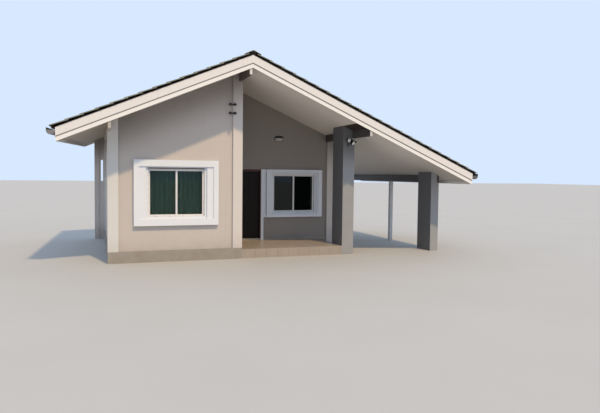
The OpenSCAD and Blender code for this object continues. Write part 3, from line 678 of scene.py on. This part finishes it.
for side, name in ((1, "battens_right"), (-1, "battens_left")):
    length = abs(eave_line(side)[0].x - ridge_x) / math.cos(PITCH) - EAVE_INSET
    count = round(length / TILE_COURSE)
    last_y = roof_run - VERGE_INSET
    boxes = [((0, VERGE_INSET, UNDERLAY_Z), (length, last_y, UNDERLAY_Z + UNDERLAY_T))]
    low = UNDERLAY_Z + UNDERLAY_T + BATTEN_GAP
    for i in range(count + 1):
        x = (length - BATTEN_W) * i / count
        boxes.append(((x, VERGE_INSET, low), (x + BATTEN_W, last_y, low + BATTEN_T)))
    piece = merged(name, [box_mesh(name, boxes, slope_frame(side, ridge_z))], bitumen_and_shade)
    trim_to_eave(piece, side, EAVE_INSET)
    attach(piece, "house")

# Ridge. Angled cement caps are bedded along the ridge and lap each other, each with a collar over
# the end of the next.

CAP_LENGTH = 0.42
CAP_LAP = 0.05
CAP_T = 0.021
CAP_EDGE_T = 0.012
COLLAR = 0.011
COLLAR_END = 0.02
COLLAR_HOLLOW = 0.8
CAP_ARC = 6
CREST_W = 0.03
CREST_DROP = 0.008


def cap_mesh(length):
    """One ridge cap along x: a rounded angle whose first end is widened to a collar."""
    rings = []
    for x, swell in ((-CAP_LAP, COLLAR), (COLLAR_END, COLLAR), (COLLAR_END * 2, 0.0), (length, 0.0)):
        top, low = [], []
        for i in range(-CAP_ARC, CAP_ARC + 1):
            share = abs(i) / CAP_ARC
            y = CAP_HALF * i / CAP_ARC
            crest = CREST_DROP * math.exp(-((y / CREST_W) ** 2))
            z = (swell * (1 - share) - COLLAR) - abs(y) * SLOPE - crest * (1 - share)
            thick = CAP_T + (CAP_EDGE_T - CAP_T) * share
            top.append((x, y, z))
            low.append((x, y, z - thick + swell * COLLAR_HOLLOW * (1 - share)))
        rings.append(top + low[::-1])
    return loft(rings, "cap")


ridge_cement = cement("ridge_tiling", (0.055, 0.050, 0.045), (0.15, 0.135, 0.12), (0.30, 0.30, 0.25))
cap_run = cap_high.y - cap_low.y - CAP_LAP
caps = round(cap_run / CAP_LENGTH)
step = cap_run / caps
rearward = Matrix.Rotation(math.pi / 2, 4, "Z")
place = Matrix.Translation((ridge_x, cap_low.y + CAP_LAP, cap_high.z)) @ rearward
cap_row = lay_rows(place, cap_mesh(step), ridge_cement, courses=caps, step=step, seed=5)
ridge_caps = new_object("ridge_caps", cap_row)
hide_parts("ridge_cap")
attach(ridge_caps, "house")

# Gutters. Pressed sheet troughs hang along both eaves, held from below by straps of flat iron
# screwed to the eave boards; grey paint gone dull, darker on the right.

EAVE_OUT = 0.13
GUTTER_DROP = 0.008
GUTTER_R = 0.09
GUTTER_H = 0.15
STRAP_W = 0.025
STRAP_T = 0.0025
STRAP_LEG = 0.10
STRAP_PITCH = 0.9
STRAP_STOP = math.radians(20)
STRAP_STEPS = 14
STRAP_GAP = 0.0004
LEG_GAP = 0.0008
DULL_GREY = ((0.15, 0.145, 0.15), (0.24, 0.23, 0.24))
RIGHT_GREY = (0.07, 0.066, 0.062)

gutter_paint = Finish("gutter_sheet", {"Specular IOR Level": 0.4})
dull = gutter_paint.mix(*DULL_GREY, gutter_paint.noise(5, 5))
gutter_paint.colour(gutter_paint.mix(dull, RIGHT_GREY, (gutter_paint.x > 0) * 0.75))
gutter_paint.roughness(gutter_paint.noise(9) * 0.3 + 0.4)
gutter_paint.relief(gutter_paint.noise(30, 3), 0.0006)
dress(gutter_paint, "gutters")


def strap_mesh():
    """A strap round the underside of the trough, and its leg down the eave board."""
    rings = []
    for i in range(STRAP_STEPS + 1):
        angle = math.pi + STRAP_STOP + (math.pi - 2 * STRAP_STOP) * i / STRAP_STEPS
        ring = []
        for y, out in ((0, 0), (STRAP_W, 0), (STRAP_W, STRAP_T), (0, STRAP_T)):
            r = GUTTER_R + STRAP_GAP + out
            ring.append((GUTTER_R + r * math.cos(angle), y, GUTTER_R - GUTTER_H + r * math.sin(angle)))
        rings.append(ring)
    bm = bmesh.new()
    bm.from_mesh(loft(rings, "strap_arc"))
    top = rings[0][0][2]
    leg = bmesh.ops.create_cube(bm, size=1)["verts"]
    bmesh.ops.scale(bm, vec=(STRAP_T, STRAP_W, STRAP_LEG), verts=leg)
    bmesh.ops.translate(bm, vec=(STRAP_T / 2 + LEG_GAP, STRAP_W / 2, top - STRAP_LEG / 2), verts=leg)
    return mesh_from(bm, "strap")


for side, name in ((1, "gutter_straps_right"), (-1, "gutter_straps_left")):
    front, rear = eave_line(side)
    along = (rear - front).normalized()
    outward = away_from(along, side)
    up = outward.cross(along) * side
    turned = Matrix((outward, along * side, up)).transposed().to_4x4()
    start = (front if side > 0 else rear) - outward * EAVE_OUT
    start += Vector((0, 0, EAVE_OUT * SLOPE - GUTTER_DROP))
    run = (rear - front).length - STRAP_PITCH / 2
    count = round(run / STRAP_PITCH)
    place = Matrix.Translation(start + along * side * STRAP_PITCH / 4) @ turned
    strap_row = lay_rows(place, strap_mesh(), gutter_paint, row=count + 1, cover=run / count)
    straps = new_object(name, strap_row)
    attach(straps, "house")

# Window surrounds. Raised bands of render round the front window and the porch window, painted
# white, with a sunk panel on either side and a plain margin at the opening.

surround_render = plaster("surround_render", (0.705, 0.73, 0.77), dirt=0.2, sand=0.0004)
dress(surround_render, "window_surrounds")

# Windows. Two sliding lights of pale aluminium in a fixed frame, screwed to the wall through its
# jambs, with a black rubber gasket round each pane and drain slots in the sill. Over the front
# window the surround's margin is darkened by painted shade under its head.

FRAME_DEPTH = 0.07
FRAME_FACE = 0.02
GASKET_W = 0.006
GASKET_T = 0.003
SCREW_R = 0.006
SCREW_TAPER = 0.7
SCREW_H = 0.002
SCREW_SIDES = 12
SCREW_PITCH = 0.19
SLOT_L = 0.035
SLOT_H = 0.006
SLOTS_AT = (-0.36, -0.12, 0.12, 0.36)
PROUD = 0.0008
HEAD_SHADE_H = 0.03
WELD = 1e-5
ANODISED = ((0.66, 0.65, 0.65), (0.76, 0.75, 0.74))
CHALK = (0.50, 0.48, 0.46)
RUBBER = ((0.008, 0.008, 0.008), (0.022, 0.021, 0.020))
HEAD_SHADE = (0.085, 0.068, 0.06)

aluminium = Finish("window_aluminium", {"Specular IOR Level": 0.5})
anodised = aluminium.mix(*ANODISED, aluminium.noise(5, 4))
chalk = aluminium.noise(3, 5, over=aluminium.stretched((4, 4, 0.6))).to_range(0.5, 0.75)
aluminium.colour(aluminium.mix(anodised, CHALK, chalk * 0.3))
aluminium.roughness(aluminium.noise(25) * 0.2 + 0.35)
aluminium.relief(aluminium.noise(200, 2), 0.0002)
dress(aluminium, "window_frames")

rubber = Finish("gasket_rubber", {"Specular IOR Level": 0.3})
rubber.colour(rubber.mix(*RUBBER, rubber.noise(40, 4)))
rubber.roughness(rubber.noise(60, 2) * 0.15 + 0.7)


def solids(name):
    """The lowest and the highest corner of each separate solid of a node."""
    bm = bmesh.new()
    bm.from_mesh(nodes[name].data)
    bmesh.ops.remove_doubles(bm, verts=bm.verts, dist=WELD)
    left = set(bm.verts)
    boxes = []
    while left:
        queue = [left.pop()]
        found = []
        while queue:
            vert = queue.pop()
            found.append(vert.co.copy())
            near = {edge.other_vert(vert) for edge in vert.link_edges} & left
            left -= near
            queue += near
        boxes.append([Vector([pick(co[i] for co in found) for i in range(3)]) for pick in (min, max)])
    bm.free()
    return sorted(boxes, key=lambda box: [round(value, 3) for value in box[0]])


def facing(low, high):
    """A window's turn about Z: none in front, half a turn behind, a quarter back at the left."""
    size = high - low
    if size.x < size.y:
        return -math.pi / 2
    return 0.0 if low.y + high.y < 0 else math.pi


def window_frame(low, high):
    """A window's own frame of reference, with y into the house, and its width and height."""
    turn = Matrix.Rotation(facing(low, high), 4, "Z")
    inward = turn.to_3x3() @ Vector((0, 1, 0))
    middle = (low + high) / 2
    half = abs(inward.dot(high - low)) / 2
    origin = Vector((middle.x, middle.y, low.z)) - inward * half
    across = turn.to_3x3() @ Vector((1, 0, 0))
    return Matrix.Translation(origin) @ turn, abs(across.dot(high - low)), high.z - low.z


def window_name(place):
    """A window is named by the wall it is in."""
    origin = place.translation
    if abs(place.to_3x3()[0][0]) < 0.5:
        return "side"
    if origin.y > 0:
        return "rear_left" if origin.x < ridge_x else "rear_right"
    return "front" if origin.x < ridge_x else "porch"


# The fixed frames alone: the sliding lights are thinner.
windows = [
    window_frame(low, high)
    for low, high in solids("window_frames")
    if min(high.x - low.x, high.y - low.y) > FRAME_DEPTH / 2
]
for place, width, height in windows:
    if window_name(place) == "front":
        head = place.translation + Vector((0, 0, height))
        across = abs(surround_render.x - head.x) < width / 2
        head_shade_mask = across * (surround_render.z > head.z) * (surround_render.z < head.z + HEAD_SHADE_H)
        # Painted shade on the margin under the head of the front window.
        surround_render.paint_over(HEAD_SHADE, head_shade_mask * 0.9)

gaskets = []
for low, high in solids("window_glass"):
    place, width, height = window_frame(low, high)
    half = width / 2
    boxes = [((x, -GASKET_T, 0), (x + GASKET_W, 0, height)) for x in (-half, half - GASKET_W)]
    boxes += [((-half, -GASKET_T, z), (half, 0, z + GASKET_W)) for z in (0, height - GASKET_W)]
    gaskets.append(box_mesh("gasket", boxes, place))

screw_bm = bmesh.new()
bmesh.ops.create_cone(
    screw_bm, cap_ends=True, segments=SCREW_SIDES, radius1=SCREW_R, radius2=SCREW_R * SCREW_TAPER,
    depth=SCREW_H,
)
screw = mesh_from(screw_bm, "screw")
screws = []
slots = []
for place, width, height in windows:
    count = round(height / SCREW_PITCH)
    cover = height / (count + 1)
    first = place @ Matrix.Translation((-(width - FRAME_FACE) / 2, -SCREW_H / 2, cover))
    outward = first @ Matrix.Rotation(math.pi / 2, 4, "X")
    screws.append(lay_rows(
        outward, screw, rubber, courses=2, step=width - FRAME_FACE, row=count, cover=cover
    ))
    boxes = []
    for share in SLOTS_AT:
        x = width * share
        boxes.append(((x - SLOT_L / 2, -PROUD, SLOT_H), (x + SLOT_L / 2, 0, SLOT_H * 2)))
    slots.append(box_mesh("slot", boxes, place))
for name, meshes in (("window_gaskets", gaskets), ("frame_screws", screws), ("drain_slots", slots)):
    piece = merged(name, meshes, rubber)
    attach(piece, "house")

# Glass. Sheets of dark green solar glass, 6 mm thick, that let little of the room show. Each sits
# in the gasket of its sliding light.

SOLAR_GREEN = ((0.20, 0.31, 0.295), (0.23, 0.35, 0.335))

glass = Finish("window_glazing", {"IOR": 1.3, "Transmission Weight": 1.0, "Roughness": 0.02})
glass.colour(glass.mix(*SOLAR_GREEN, glass.noise(1.5, 3)))
dress(glass, "window_glass")

# Curtains. One unlined cloth behind each window but the porch one, pleated and hung from a steel
# rod on the inside of the wall.

CURTAIN_SIDE = 0.10
CURTAIN_FOOT = 0.12
CURTAIN_HEAD = 0.10
CURTAIN_IN = 0.17
CLOTH_T = 0.0016
PLEAT = 0.115
PLEAT_DEPTH = 0.020
PLEAT_FLARE = 0.010
PLEAT_STEPS = 10
PLEAT_DRIFTS = ((0.7, 3.1, 0.8), (0.35, 7.3, 0.0))
CURTAIN_ROWS = 8
CLOTH_GREEN = ((0.42, 0.47, 0.43), (0.62, 0.66, 0.62))
ROD_R = 0.011
BRACKET_R = ROD_R * 0.6
ROD_SIDES = 16
ROD_SPARE = 0.08
ROD_GREY = (0.30, 0.29, 0.28)
WALL_IN = 0.0955

cloth = Finish("curtain_cloth", {"Specular IOR Level": 0.1, "Sheen Weight": 0.3})
weave = cloth.noise(900, 2) * 0.5 + cloth.noise(220, 3, over=cloth.stretched((1, 1, 0.1))) * 0.5
cloth.colour(cloth.mix(*CLOTH_GREEN, weave))
cloth.roughness(weave * 0.1 + 0.85)
cloth.relief(weave, 0.0005)

rod_paint = steel_paint("rod_paint", ROD_GREY)


def pleat(x, drop):
    """How far the cloth stands out from its rod, at a place along it and a share of its drop."""
    drift = sum(size * math.sin(rate * x + start) for size, rate, start in PLEAT_DRIFTS)
    return (PLEAT_DEPTH + PLEAT_FLARE * drop) * math.sin(2 * math.pi * x / PLEAT + drift)


def curtain(name, place, width, height):
    """A hanging cloth, and the flat width and length it was cut to."""
    steps = round(width / PLEAT) * PLEAT_STEPS
    bm = bmesh.new()
    grid = []
    for row in range(CURTAIN_ROWS + 1):
        drop = row / CURTAIN_ROWS
        level = height * (1 - drop)
        line = [
            (width * (i / steps - 0.5), CURTAIN_IN + pleat(width * i / steps, drop), level)
            for i in range(steps + 1)
        ]
        grid.append([bm.verts.new(point) for point in line])
    for upper, lower in zip(grid, grid[1:]):
        for i in range(steps):
            bm.faces.new((upper[i], lower[i], lower[i + 1], upper[i + 1]))
    middle = [vert.co.copy() for vert in grid[CURTAIN_ROWS // 2]]
    flat_width = sum((b - a).length for a, b in zip(middle, middle[1:]))
    bmesh.ops.transform(bm, matrix=place, verts=bm.verts)
    mesh = mesh_from(bm, name)
    mesh.materials.append(cloth.material)
    piece = new_object(name, mesh)
    solid = piece.modifiers.new("thickness", "SOLIDIFY")
    solid.thickness = CLOTH_T
    for face in mesh.polygons:
        face.use_smooth = True
    return piece, (round(flat_width, 2), round(height, 2))


def rod_mesh(radius, length, place, turn_axis, sides=ROD_SIDES):
    """A round bar that lies along X or Y."""
    bm = bmesh.new()
    bmesh.ops.create_cone(
        bm, cap_ends=True, segments=sides, radius1=radius, radius2=radius, depth=length
    )
    turned = Matrix.Rotation(math.pi / 2, 4, turn_axis)
    bmesh.ops.transform(bm, matrix=place @ turned, verts=bm.verts)
    return mesh_from(bm, "rod")


for place, width, height in windows:
    where = window_name(place)
    if where == "porch":
        continue
    wide = width + 2 * CURTAIN_SIDE
    tall = height + CURTAIN_FOOT + CURTAIN_HEAD
    rod_z = height + CURTAIN_HEAD + ROD_R
    rod_place = place @ Matrix.Translation((0, CURTAIN_IN, rod_z))
    held = [rod_mesh(ROD_R, wide + ROD_SPARE, rod_place, "Y")]
    for x in (-wide / 2, wide / 2):
        middle = Matrix.Translation((x, (CURTAIN_IN + WALL_IN) / 2, rod_z))
        held.append(rod_mesh(BRACKET_R, CURTAIN_IN - WALL_IN, place @ middle, "X"))
    rod = merged("curtain_rod_" + where, held, rod_paint)
    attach(rod, "house")
    foot = place @ Matrix.Translation((0, 0, -CURTAIN_FOOT))
    hung, flat = curtain("curtain_" + where, foot, wide, tall)
    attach(hung, "house")

# Front door. A leaf of dark stained hardwood with raised fields in sunk mouldings, hung on steel
# hinges in a frame stained red-brown, with a lever handle and a lock below it.

LOCK_R = 0.012
LOCK_OUT = 0.004
LOCK_DROP = 0.085
LOCK_SIDES = 24
HANDLE_STEEL = ((0.45, 0.45, 0.46), (0.62, 0.62, 0.63))


def stained(name, dark, light, gloss):
    finish = Finish(name, {"Specular IOR Level": gloss})
    ring = finish.noise(14, 6, over=finish.stretched((6, 6, 0.4)))
    worn = finish.noise(2.5, 4).to_range(0.55, 0.75)
    finish.colour(finish.mix(finish.mix(dark, light, ring), shade(light, 1.5), worn * 0.2))
    finish.roughness(ring * 0.2 + 0.34 + worn * 0.15)
    finish.relief(ring, 0.0006)
    return finish


dress(stained("door_timber", (0.006, 0.003, 0.002), (0.014, 0.007, 0.005), 0.15), "front_door")
dress(stained("frame_paint", (0.050, 0.014, 0.011), (0.085, 0.025, 0.020), 0.3), "door_frame")

steel = Finish("handle_steel", {"Metallic": 1.0})
steel.colour(steel.mix(*HANDLE_STEEL, steel.noise(40, 3)))
steel.roughness(steel.noise(60) * 0.2 + 0.25)
dress(steel, "frame_hinges", "door_hinges", "door_handle")

handle_low, handle_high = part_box("door_handle")
leaf_low, leaf_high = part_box("front_door")
rose_x = handle_low.x + (handle_high.z - handle_low.z) / 2
lock_z = (handle_low.z + handle_high.z) / 2 - LOCK_DROP
lock_faces = [
    rod_mesh(LOCK_R, LOCK_OUT, Matrix.Translation((rose_x, y, lock_z)), "X", LOCK_SIDES)
    for y in (leaf_low.y - LOCK_OUT / 2, leaf_high.y + LOCK_OUT / 2)
]
lock = merged("door_lock", lock_faces, steel)
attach(lock, "door")

# Porch lamp. An oval lamp screwed to the wall over the door: frosted glass behind a hood of dark
# painted sheet that covers its upper half.

LAMP_R = 0.076
LAMP_L = 0.124
HOOD_STEP = 0.001
FROSTED = ((0.36, 0.35, 0.34), (0.46, 0.45, 0.43))
HOOD_PAINT = (0.022, 0.020, 0.019)

lamp_low, lamp_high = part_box("porch_lamp")
lamp_x = (lamp_low.x + lamp_high.x) / 2
lamp_z = (lamp_low.z + lamp_high.z) / 2

frosted = Finish("lamp_glass", {"Specular IOR Level": 0.5})
past_end = (abs(frosted.x - lamp_x) - LAMP_L / 2) | 0.0
off_wall = frosted.y - lamp_high.y
rise = frosted.z - lamp_z
from_axis = (past_end * past_end + off_wall * off_wall + rise * rise).root()
hood = from_axis > LAMP_R + HOOD_STEP
frosted.colour(frosted.mix(frosted.mix(*FROSTED, frosted.noise(8, 3)), HOOD_PAINT, hood))
frosted.roughness(frosted.noise(15) * 0.1 + 0.2 + hood * 0.2)
frosted.relief(frosted.noise(60, 3), 0.0003)
dress(frosted, "porch_lamp")

# Flood lamps. Two black die-cast lamps with domed lenses turn on a round box on the carport
# column, with a sensor beside them, a cable box above and a flat bracket below.

FLOOD_IN = 0.19
FLOOD_Z = 3.112
FLOOD_JOINT = 0.02
FLOOD_L = 0.084
LENS_R = 0.057
LENS_RISE = 0.016
LENS_RINGS = 6
LENS_SIDES = 32
LENS_SEAT = 0.001
LAMP_BLACK = ((0.008, 0.008, 0.009), (0.022, 0.021, 0.021))
LENS_WHITE = ((0.66, 0.64, 0.61), (0.80, 0.78, 0.75))
BOX_CREAM = ((0.44, 0.40, 0.34), (0.54, 0.50, 0.43))
FLOOD_HEADS = ((-0.078, 0.038, 17, 12), (0.042, -0.022, 26, 24))
CABLE_BOX = ((0.074, -0.034, 0.056), (0.114, 0, 0.092))
FLAT_BRACKET = ((-0.062, -0.012, -0.145), (-0.030, 0, -0.03))

black_paint = Finish("lamp_paint", {"Specular IOR Level": 0.5})
black_paint.colour(black_paint.mix(*LAMP_BLACK, black_paint.noise(20, 4)))
black_paint.roughness(black_paint.noise(30) * 0.2 + 0.35)
black_paint.relief(black_paint.noise(200, 3), 0.0003)
dress(black_paint, "flood_lamps")

lens_glass = Finish("lens_glass", {"Specular IOR Level": 0.6, "Coat Weight": 0.5})
fluted = lens_glass.noise(70, 2)
lens_glass.colour(lens_glass.mix(*LENS_WHITE, fluted))
lens_glass.roughness(fluted * 0.1 + 0.12)
lens_glass.relief(fluted, 0.0006)

box_plastic = Finish("cable_box_plastic", {"Specular IOR Level": 0.4})
box_plastic.colour(box_plastic.mix(*BOX_CREAM, box_plastic.noise(25, 4)))
box_plastic.roughness(box_plastic.noise(40) * 0.15 + 0.45)


def dome_mesh(place):
    """A shallow dome on a round base, rising along z."""
    sphere_r = (LENS_R * LENS_R + LENS_RISE * LENS_RISE) / (2 * LENS_RISE)
    reach = math.asin(LENS_R / sphere_r)
    bm = bmesh.new()
    base = bm.verts.new((0, 0, -LENS_SEAT))
    top = bm.verts.new((0, 0, LENS_RISE))
    rings = []
    for ring in range(LENS_RINGS, 0, -1):
        angle = reach * ring / LENS_RINGS
        r = sphere_r * math.sin(angle)
        z = sphere_r * (math.cos(angle) - 1) + LENS_RISE
        turns = [2 * math.pi * i / LENS_SIDES for i in range(LENS_SIDES)]
        rings.append([bm.verts.new((r * math.cos(turn), r * math.sin(turn), z)) for turn in turns])
    for i in range(LENS_SIDES):
        j = (i + 1) % LENS_SIDES
        bm.faces.new((base, rings[0][i], rings[0][j]))
        bm.faces.new((top, rings[-1][i], rings[-1][j]))
        for lower, upper in zip(rings, rings[1:]):
            bm.faces.new((lower[i], lower[j], upper[j], upper[i]))
    bmesh.ops.transform(bm, matrix=place, verts=bm.verts)
    return mesh_from(bm, "dome")


flood_box = Vector((column_low.x + FLOOD_IN, column_low.y, FLOOD_Z))
at_box = Matrix.Translation(flood_box)
domes = []
for x, z, turn, tip in FLOOD_HEADS:
    turned = Matrix.Rotation(math.radians(turn), 4, "Z")
    aim = turned @ Matrix.Rotation(math.radians(90 + tip), 4, "X")
    joint = Matrix.Translation(flood_box + Vector((x, -FLOOD_JOINT, z)))
    domes.append(dome_mesh(joint @ aim @ Matrix.Translation((0, 0, FLOOD_L))))
for name, meshes, finish in (
    ("flood_lenses", domes, lens_glass),
    ("cable_box", [box_mesh("cable_box", [CABLE_BOX], at_box)], box_plastic),
    ("lamp_bracket", [box_mesh("lamp_bracket", [FLAT_BRACKET], at_box)], black_paint),
):
    piece = merged(name, meshes, finish)
    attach(piece, "house")
for face in bpy.data.objects["flood_lenses"].data.polygons:
    face.use_smooth = True

# Insulators. Brown-black glazed porcelain spools on bolts in brackets of flat iron, screwed to the
# left edge of the ridge column.

BROWN_GLAZE = ((0.010, 0.008, 0.007), (0.030, 0.022, 0.018))

porcelain = Finish("insulator_glaze", {"Specular IOR Level": 0.6})
porcelain.colour(porcelain.mix(*BROWN_GLAZE, porcelain.noise(30, 4)))
porcelain.roughness(porcelain.noise(50) * 0.2 + 0.25)
porcelain.relief(porcelain.noise(120, 3), 0.0003)
dress(porcelain, "wire_insulators")

# Floor, light and camera. A plain pale floor, one warm light from high at the front right, and an
# even pale surround. The camera looks from the street, a little from the left.

FLOOR_HALF = 150
FLOOR_PALE = ((0.43, 0.425, 0.415), (0.47, 0.465, 0.455))

floor_bm = bmesh.new()
bmesh.ops.create_grid(floor_bm, x_segments=1, y_segments=1, size=FLOOR_HALF)
floor_mesh = bpy.data.meshes.new("studio_floor")
floor_bm.to_mesh(floor_mesh)
floor_bm.free()
studio_floor = new_object("studio_floor", floor_mesh)
pale = Finish("pale_floor", {"Specular IOR Level": 0.2, "Roughness": 0.8})
pale.colour(pale.mix(*FLOOR_PALE, pale.noise(0.4, 3)))
floor_mesh.materials.append(pale.material)
studio_floor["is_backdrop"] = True

SUN_SIDE = 0.254
SUN_DROP = 1.232
SUN_ENERGY = 2.55
SUN_ANGLE = math.radians(2.5)
SUN_COLOUR = (1.0, 0.74, 0.42)
SKY_COLOUR = (0.62, 0.74, 0.92)
SKY_STRENGTH = 1.1

sun_data = bpy.data.lights.new("key", "SUN")
sun_data.energy = SUN_ENERGY
sun_data.angle = SUN_ANGLE
sun_data.color = SUN_COLOUR
sun = bpy.data.objects.new("key", sun_data)
sun.rotation_euler = Vector((-SUN_SIDE, 1, -SUN_DROP)).to_track_quat("-Z", "Y").to_euler()
bpy.context.scene.collection.objects.link(sun)

world = bpy.data.worlds.new("surround")
world.use_nodes = True
background = world.node_tree.nodes["Background"]
background.inputs["Color"].default_value = (*SKY_COLOUR, 1)
background.inputs["Strength"].default_value = SKY_STRENGTH
bpy.context.scene.world = world

FOCAL_PX = 556.8
IMAGE_W = 600
IMAGE_H = 413
SENSOR_W = 36
SEES_TO = 400
HORIZON_ROW = 200.27
EYE_SIDE = -3.482
EYE_BACK = -12.861
EYE_HEIGHT = 2.168
YAW = 0.350
TILT = -0.0449
ROLL = 0.0109

camera_data = bpy.data.cameras.new("street_view")
camera_data.sensor_width = SENSOR_W
camera_data.lens = FOCAL_PX / IMAGE_W * SENSOR_W
camera_data.shift_y = (HORIZON_ROW - IMAGE_H / 2) / IMAGE_W
camera_data.clip_end = SEES_TO
camera = bpy.data.objects.new("street_view", camera_data)
forward = Vector((math.sin(YAW) * math.cos(TILT), math.cos(YAW) * math.cos(TILT), math.sin(TILT)))
level = Vector((math.cos(YAW), -math.sin(YAW), 0))
upright = level.cross(forward)
side_axis = level * math.cos(ROLL) + upright * math.sin(ROLL)
up_axis = upright * math.cos(ROLL) - level * math.sin(ROLL)
eye = Matrix.Translation((ridge_x + EYE_SIDE, boards_low.y + EYE_BACK, EYE_HEIGHT))
camera.matrix_world = eye @ Matrix((side_axis, up_axis, -forward)).transposed().to_4x4()
bpy.context.scene.collection.objects.link(camera)
bpy.context.scene.camera = camera
bpy.context.scene.view_settings.view_transform = "Standard"

low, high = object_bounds()
